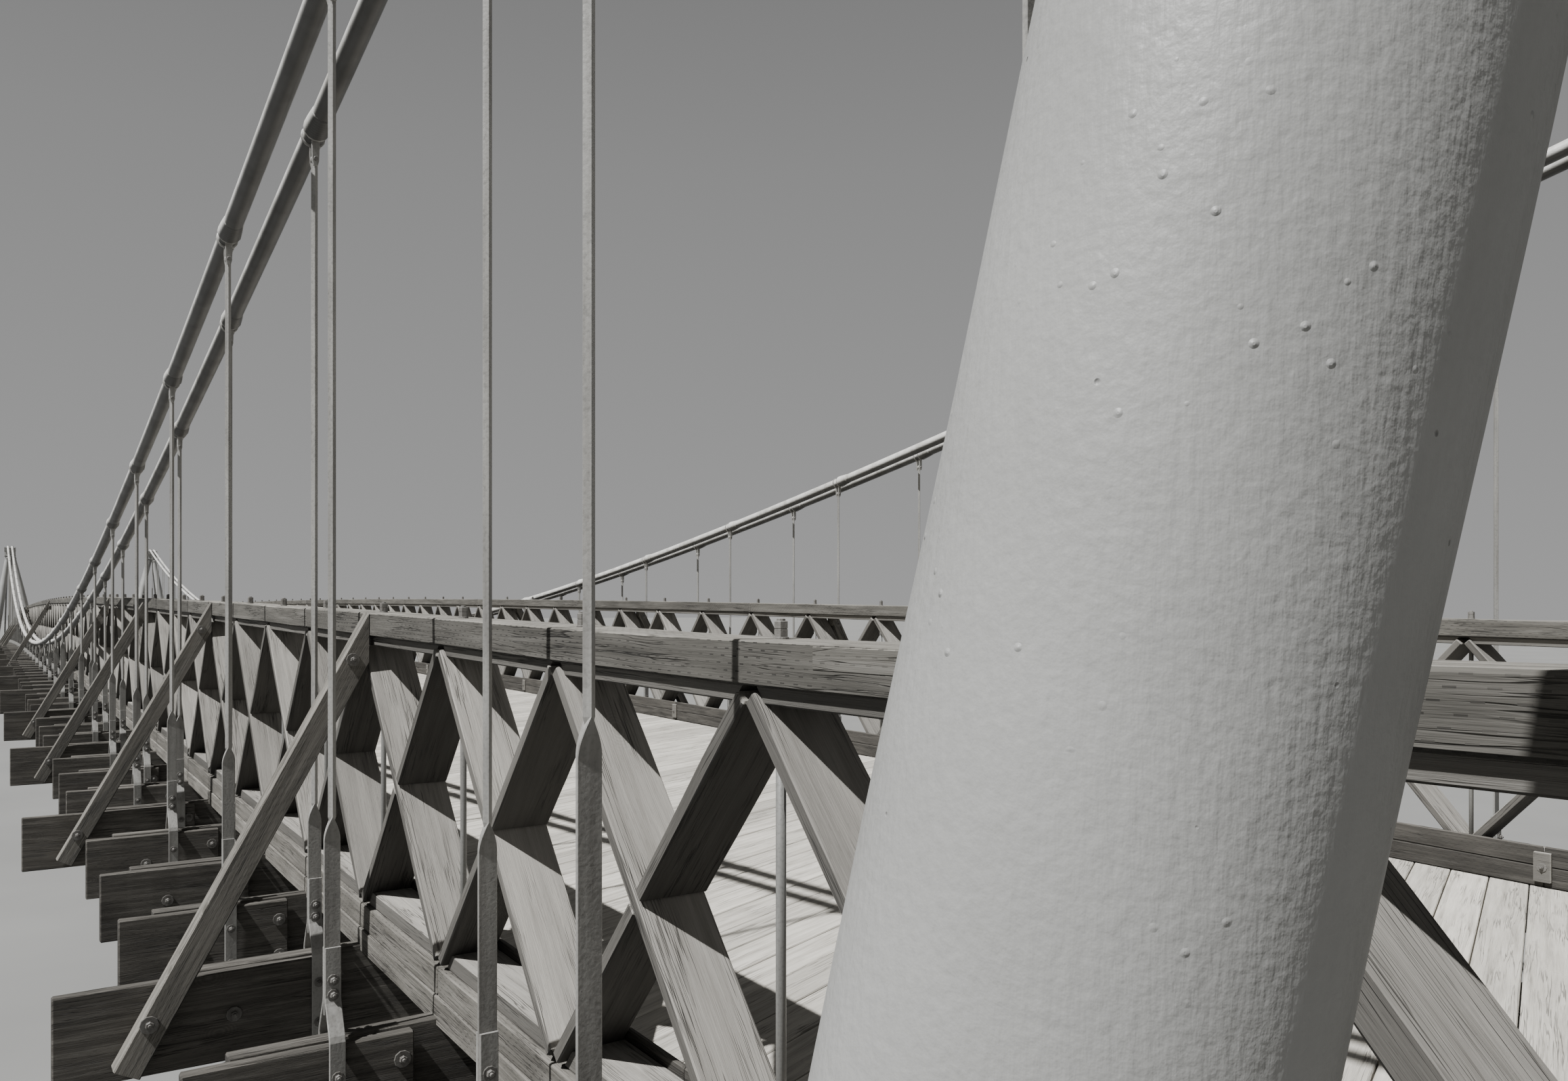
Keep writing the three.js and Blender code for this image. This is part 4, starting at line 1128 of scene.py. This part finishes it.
def leg_skins(way, side, bank, place):
    """Rings of the column's profile, sheared so that a tower's four axes meet at one point above the crown.

    The swelling is a wave of three round the column that turns with its height.
    """
    z, r = np.array(COLUMN).T * MM
    fine = np.unique(np.concatenate([z, np.linspace(14 * MM, 480 * MM, 60)]))[:, None]
    r = np.interp(fine, z, r)
    lean_x = (way if bank == "span" else -way) * LEAN[place][0]
    lean_y = side * LEAN[place][1]
    below = PIER_TOP + fine - LEG_FOCUS
    turn = 2 * np.pi * np.arange(COLUMN_SIDES) / COLUMN_SIDES
    wave = 1 + 0.006 * np.sin(3 * turn + 9 * fine / 0.1) * (fine > 10 * MM) * (fine < 486 * MM)
    x = way * TOWER_X + lean_x * below + r * wave * np.cos(turn)
    y = side * TOWER_Y + lean_y * below + r * wave * np.sin(turn)
    skins = [loft(points(x, y, PIER_TOP + fine), smooth=True)]
    foot_x = way * TOWER_X + lean_x * (PIER_TOP - LEG_FOCUS)
    foot_y = side * TOWER_Y + lean_y * (PIER_TOP - LEG_FOCUS)
    angle = np.pi / 4 + np.arange(4) * np.pi / 2
    at = points(foot_x + FLANGE_BOLTS * np.cos(angle), foot_y + FLANGE_BOLTS * np.sin(angle),
                PIER_TOP + FLANGE_TOP)
    return skins + bolts(at, (0, 0, 1.0), 2.2 * MM, slot=1, plate=1.5)


print("corners of a column's profile:", len(COLUMN))

# %% Crowns
CROWN_LOW, CROWN_BODY, RIB_TOP, SADDLE_LOW = LEG_TOP + 0.3 * MM, 637 * MM, 636 * MM, 634 * MM
# The saddle's outline across the bridge: place and height over the grooves. The first two corners stay level.
SADDLE_RING = [(-25.5, 0), (25.5, 0), (25.5, 3.2), (22.5, 3.2), (15.5, 1.5), (12.5, 0), (5.5, 0), (0, 1.8),
               (-5.5, 0), (-12.5, 0), (-15.5, 1.5), (-22.5, 3.2), (-25.5, 3.2)]


def casting(x0, y0, foot, head, z0, z1, edge=1.0 * MM):
    """A block about (x0, y0) from half sizes foot at z0 to half sizes head at z1, with all its edges cut."""
    z = np.array([z0, z0 + edge, z1 - edge, z1])
    tuck = np.array([edge, 0, 0, edge])
    a, b = [low * MM + (high - low) * MM * (z - z0) / (z1 - z0) - tuck for low, high in zip(foot, head)]
    x, y = chamfered(a, b, np.full(4, edge * 1.5))
    return loft(points(x0 + x, y0 + y, z[:, None]))


def crown_skins(way, side):
    """A base plate with bolts, a tapering body with ribs, and a saddle that follows the cables."""
    x0, y0 = way * TOWER_X, side * TOWER_Y
    skins = [casting(x0, y0, (23.9, 26), (23.9, 26), CROWN_LOW, CROWN_LOW + 7 * MM),
             casting(x0, y0, (17.6, 21.5), (15.5, 23.5), CROWN_LOW + 6.5 * MM, CROWN_BODY)]
    for dx in (-8, 8):
        for face in (-1, 1):
            a = (x0 + dx * MM, y0 + face * 22.6 * MM, CROWN_LOW + 6 * MM)
            b = (x0 + dx * MM, y0 + face * 23.6 * MM, RIB_TOP)
            skins.append(boards(a, b, (1.0, 0, 0), 2.6 * MM, 4 * MM, edge=0.5 * MM))
    path = cable_path(0.0)
    rail = path[np.abs(path[:, 0] - x0) < 27.5 * MM]
    across, over = np.array(SADDLE_RING).T * MM
    z = rail[:, 2:] - CABLE_RADIUS - 0.5 * MM + over
    z[:, :2] = SADDLE_LOW
    skins.append(loft(points(rail[:, :1], y0 + across, z)))
    turn = np.linspace(-0.15, math.pi + 0.15, 13)
    for y, _, _ in CABLES.values():
        for x in (x0 - 13 * MM, x0 + 13 * MM):
            z = np.interp(x, path[:, 0], path[:, 2])
            arc = points(x, side * y + (CABLE_RADIUS + 0.9 * MM) * np.cos(turn),
                         z + (CABLE_RADIUS + 0.9 * MM) * np.sin(turn))
            skins.append(straps(arc, 3 * MM, 0.7 * MM, (1.0, 0, 0)))
    dx, dy = [g.ravel() * MM for g in np.meshgrid([-20.5, 20.5], [-22, 22])]
    at = points(x0 + dx, y0 + dy, CROWN_LOW + 7 * MM)
    return skins + bolts(at, (0, 0, 1.0), 1.6 * MM, slot=1, plate=1.5)


# %% Build the towers
IRON = [column_paint, bolt_iron]
for end, way in ENDS.items():
    for name, side in SIDES.items():
        for bank in ("span", "bank"):
            for place in ("outer", "inner"):
                build(f"column_{end}_{name}_{bank}_{place}", leg_skins(way, side, bank, place), IRON,
                      "cast_iron", f"tower_{end}_{name}_leg_{bank}_{place}")
        build(f"saddle_{end}_{name}", crown_skins(way, side), IRON, "cast_iron", f"tower_{end}_{name}_crown")

# %% [markdown]
# ## Masonry
# Courses of squared blocks are laid round a core of mortar. The blocks of one course break the joints of
# the course below, each face block stands out by a hair's breadth of its own, and a coping course closes
# the top. A bump pattern of bricks would be less work, but real blocks have an outline and cast shadows in
# their joints.

# %% Blocks and facings
BLOCK, JOINT, CORE_INSET = 46 * MM, 0.4 * MM, 2.2 * MM
FACE_DEPTH, PROUD = 9 * MM, 1.6 * MM


def facing(corner, far, normal, z0, z1, course):
    """Blocks on one upright face from corner to far, course by course, half a block out of step each time."""
    corner, far, normal = (np.array(v, float) for v in (corner, far, normal))
    run = np.linalg.norm(far - corner)
    way = (far - corner) / run
    rows = max(1, round((z1 - z0) / course))
    tall = (z1 - z0) / rows
    starts, stops = [], []
    for row in range(rows):
        cuts = np.linspace(0, run, max(1, round(run / BLOCK)) + 1)
        if row % 2:
            cuts = np.concatenate([[0], (cuts[:-1] + cuts[1:]) / 2, [run]])
        cuts[1:-1] += rng.uniform(-0.12, 0.12, len(cuts) - 2) * BLOCK
        proud = rng.uniform(0.0, PROUD, len(cuts) - 1) - FACE_DEPTH / 2
        base = corner + normal * proud[:, None]
        z = z0 + tall * (row + 0.5)
        for places, along in ((starts, cuts[:-1] + 0.5 * MM), (stops, cuts[1:] - 0.5 * MM)):
            places.append(points(*(base + way * along[:, None]).T, z))
    return boards(np.concatenate(starts), np.concatenate(stops), (0, 0, 1.0), tall - 1.0 * MM, FACE_DEPTH,
                  edge=0.9 * MM, steps=3, wear=0.3 * MM)


def solid_block(x0, x1, y0, y1, z0, z1, slot=0, edge=0.8 * MM):
    """One block between six planes."""
    y, z = (y0 + y1) / 2, (z0 + z1) / 2
    return boards((x0, y, z), (x1, y, z), (0, 1.0, 0), y1 - y0, z1 - z0, edge=edge, slot=slot)


def shares(low, high, count):
    """Equal shares of a length with a joint between them, as pairs of ends."""
    cuts = np.linspace(low, high, count + 1)
    return list(zip(cuts[:-1] + JOINT, cuts[1:] - JOINT))


def coping(xs, ys, z0, z1):
    """A slab for every pair of ends along and across the bridge."""
    return [solid_block(*x, *y, z0, z1, edge=0.9 * MM) for x in xs for y in ys]


print("a face 260 mm long has", round(260 * MM / BLOCK), "blocks a course")

# %% Piers
PIER_INNER, PIER_OUTER, PIER_HALF = 183 * MM, 446 * MM, 128 * MM
COPING_LOW = 91 * MM


def pier_skins(way, side):
    """A core of mortar with four faces of blocks and sixteen coping slabs."""
    x0, x1 = sorted((way * (TOWER_X - PIER_HALF), way * (TOWER_X + PIER_HALF)))
    y0, y1 = sorted((side * PIER_INNER, side * PIER_OUTER))
    left, right, near, far = x0 + CORE_INSET, x1 - CORE_INSET, y0 + CORE_INSET, y1 - CORE_INSET
    skins = [solid_block(left, right, near, far, 0, COPING_LOW + 1 * MM, slot=1)]
    for a, b, normal in (((left, near), (right, near), (0, -1)), ((right, near), (right, far), (1, 0)),
                         ((right, far), (left, far), (0, 1)), ((left, far), (left, near), (-1, 0))):
        skins.append(facing(a, b, normal, 0.2 * MM, COPING_LOW, 22 * MM))
    return skins + coping(shares(x0, x1, 4), shares(y0, y1, 4), COPING_LOW, COPING_LOW + 10 * MM)


# %% End walls
WALL_FRONT, WALL_STEP, WALL_BACK = 3.682, 3.7103, 3.745
WALL_HALF, SHELF, SHELF_TOP, WALL_CAP, WALL_TOP = 182.5 * MM, 109 * MM, 117.7 * MM, 153 * MM, 163.8 * MM


def wall_skins(way):
    """The wall between the piers: a low front under the deck's end, and a higher back beyond it."""
    def core(front, back, low, high):
        x0, x1 = sorted((way * (front + CORE_INSET), way * (back - CORE_INSET)))
        return solid_block(x0, x1, -WALL_HALF, WALL_HALF, low, high, slot=1)

    def face(x, out, low, high, course):
        return facing((way * x, -WALL_HALF), (way * x, WALL_HALF), (way * out, 0), low, high, course)

    def caps(front, back, low, high):
        return coping([sorted((way * front, way * back))], shares(-WALL_HALF, WALL_HALF, 6), low, high)

    return [core(WALL_FRONT, WALL_BACK, 0, SHELF),
            core(WALL_STEP, WALL_BACK, SHELF - 3 * MM, WALL_CAP + 1 * MM),
            face(WALL_FRONT + CORE_INSET, -1, 0.2 * MM, SHELF, 22 * MM),
            *caps(WALL_FRONT, WALL_STEP - 0.5 * MM, SHELF, SHELF_TOP),
            face(WALL_BACK - CORE_INSET, 1, 0.2 * MM, WALL_CAP, 24 * MM),
            face(WALL_STEP + CORE_INSET, -1, SHELF_TOP, WALL_CAP, 18 * MM),
            *caps(WALL_STEP, WALL_BACK, WALL_CAP, WALL_TOP)]


STONE = [pier_stone, mortar]
for end, way in ENDS.items():
    build(f"stonework_{end}", pier_skins(way, 1) + pier_skins(way, -1) + wall_skins(way), STONE, "masonry",
          f"abutment_{end}")

# %% [markdown]
# ## Anchor blocks
# An anchor block is one mass of dressed stone. Its upper front edge is cut square to the backstays, and an
# iron plate there takes the cable's socket. The block's front is a line with a bend in it, read off at each
# course.

# %% Anchor blocks
SOCKET = [(0, 8.8), (1.8, 8.8), (2.4, 8.2), (2.6, 6.2), (16, 5.4), (17, 4.9)]
COURSE, ANCHOR_HALF, ANCHOR_JOINT, ANCHOR_EDGE = 25 * MM, 55 * MM, 0.3 * MM, 1.0 * MM


def anchor_skins(way, side):
    """Three courses of blocks with broken joints, and a turned socket for each cable on the slanted front."""
    end = ANCHOR_X + 0.36 * MM
    axis = CABLE_TOP - (end - TOWER_X) * BACKSTAY_SLOPE
    low_x, low_z = end - PLATE_LOW * BACKSTAY_SLOPE, axis - PLATE_LOW
    high_x = end + (ANCHOR_TALL - axis) * BACKSTAY_SLOPE
    t, tuck = np.array([0, 0.06, 0.94, 1]), np.array([ANCHOR_EDGE, 0, 0, ANCHOR_EDGE])
    skins = []
    for number in range(3):
        low, high = number * COURSE + ANCHOR_JOINT, (number + 1) * COURSE - ANCHOR_JOINT
        z = low + (high - low) * t
        front = np.interp([low, high], [0, low_z, ANCHOR_TALL], [low_x, low_x, high_x])
        front = front[0] + (front[1] - front[0]) * t
        depth = low_x + ANCHOR_LONG - front
        cuts = np.linspace(0, 1, 4 if number % 2 else 5)
        ys = np.linspace(-ANCHOR_HALF, ANCHOR_HALF, 3 if number % 2 else 4)
        for c0, c1 in zip(cuts[:-1], cuts[1:]):
            for y0, y1 in zip(ys[:-1], ys[1:]):
                a = front + depth * c0 + ANCHOR_JOINT + tuck
                b = front + depth * c1 - ANCHOR_JOINT - tuck
                dx, dy = chamfered((b - a) / 2, (y1 - y0) / 2 - ANCHOR_JOINT - tuck, np.full(4, ANCHOR_EDGE))
                skins.append(loft(points(way * (a + b)[:, None] / 2 + dx, side * TOWER_Y + (y0 + y1) / 2 + dy,
                                         z[:, None])))
    normal = np.array([-way * 1.0, 0, BACKSTAY_SLOPE])
    normal /= np.linalg.norm(normal)
    for y, _, _ in CABLES.values():
        at = np.array([[way * end, side * y, axis]]) + normal * 0.2 * MM
        skins.append(turned(at, normal, np.array(SOCKET) * MM, sides=24, slot=1))
    return skins


for end, way in ENDS.items():
    for name, side in SIDES.items():
        build(f"anchorage_{end}_{name}", anchor_skins(way, side), [pier_stone, column_paint], "masonry",
              f"anchor_block_{end}_{name}")

# %% [markdown]
# ## Floor, light and camera
# A plain pale floor lies under the bridge. One sun from high on the left, behind the camera, gives the
# shadows of the photo, and a sky that is paler near the horizon fills them. An area light would blur them
# and fade along so long a bridge. The camera stands outside the near tower leg at the height of the
# handrail, looks level, and is shifted up a little.

# %% Floor
floor_mesh = bpy.data.meshes.new("pale_floor")
floor_mesh.from_pydata([(x, y, -0.4 * MM) for x, y in ((-40, -40), (40, -40), (40, 40), (-40, 40))], [],
                       [(0, 1, 2, 3)])
floor = bpy.data.objects.new("pale_floor", floor_mesh)
bpy.context.scene.collection.objects.link(floor)
floor_material, add, floor_shader = new_material("studio_floor_matt_paint")
cloud = {"Vector": add("TexCoord", out="Object"), "Scale": 3.0, "Detail": 3, "Roughness": 0.55}
paint = add("ValToRGB", add("TexNoise", cloud), stops=[(0.3, "#6d6d6b"), (0.7, "#757573")])
coat(add, floor_shader, paint, [])
floor_shader.inputs["Roughness"].default_value = 0.95
floor_mesh.materials.append(floor_material)
print("floor:", [round(v, 1) for v in floor.dimensions])

# %% Sun and sky
sun_data = bpy.data.lights.new("studio_sun", "SUN")
sun_data.energy = 9.5
sun_data.angle = math.radians(0.8)
sun = bpy.data.objects.new("studio_sun", sun_data)
toward = np.array([-0.05, 0.645, 1.0])
toward /= np.linalg.norm(toward)
sun.rotation_euler = (math.acos(toward[2]), 0, math.atan2(toward[1], toward[0]) + math.pi / 2)
bpy.context.scene.collection.objects.link(sun)
world = bpy.data.worlds.new("studio_sky")
world.use_nodes = True
sky = world.node_tree
height = put(sky, "SeparateXYZ", put(sky, "TexCoord", out="Generated"), out=2)
grey = put(sky, "ValToRGB", height, stops=[(0.0, 0.37), (0.35, 0.27), (0.75, 0.1)])
sky.links.new(grey, sky.nodes["Background"].inputs[0])
bpy.context.scene.world = world
print("the sun stands", round(math.degrees(math.asin(toward[2])), 1), "degrees high")

# %% Camera
SENSOR, PHOTO_WIDTH = 36.0, 2316
FOCAL_PIXELS, SHIFT_PIXELS = 1716.9, (-3.4, 102.8)
CAMERA_HEIGHT, CAMERA_YAW = 0.3208, -34.64
camera_data = bpy.data.cameras.new("photo_camera")
camera_data.sensor_width = SENSOR
camera_data.lens = SENSOR * FOCAL_PIXELS / PHOTO_WIDTH
camera_data.shift_x, camera_data.shift_y = [shift / PHOTO_WIDTH for shift in SHIFT_PIXELS]
camera_data.clip_start = 2 * MM
camera_data.clip_end = 200.0
camera = bpy.data.objects.new("photo_camera", camera_data)
camera.location = (-(MID + 0.053) * BAY, 3.9985 * BAY, CAMERA_HEIGHT)
camera.rotation_euler = (math.pi / 2, 0, math.radians(CAMERA_YAW - 90))
bpy.context.scene.collection.objects.link(camera)
bpy.context.scene.camera = camera
print("lens:", round(camera_data.lens, 2), "mm")

# %% Sizes and the end
print("triangles added:", sum(TRIANGLES.values()), "largest:", max(TRIANGLES.values()))
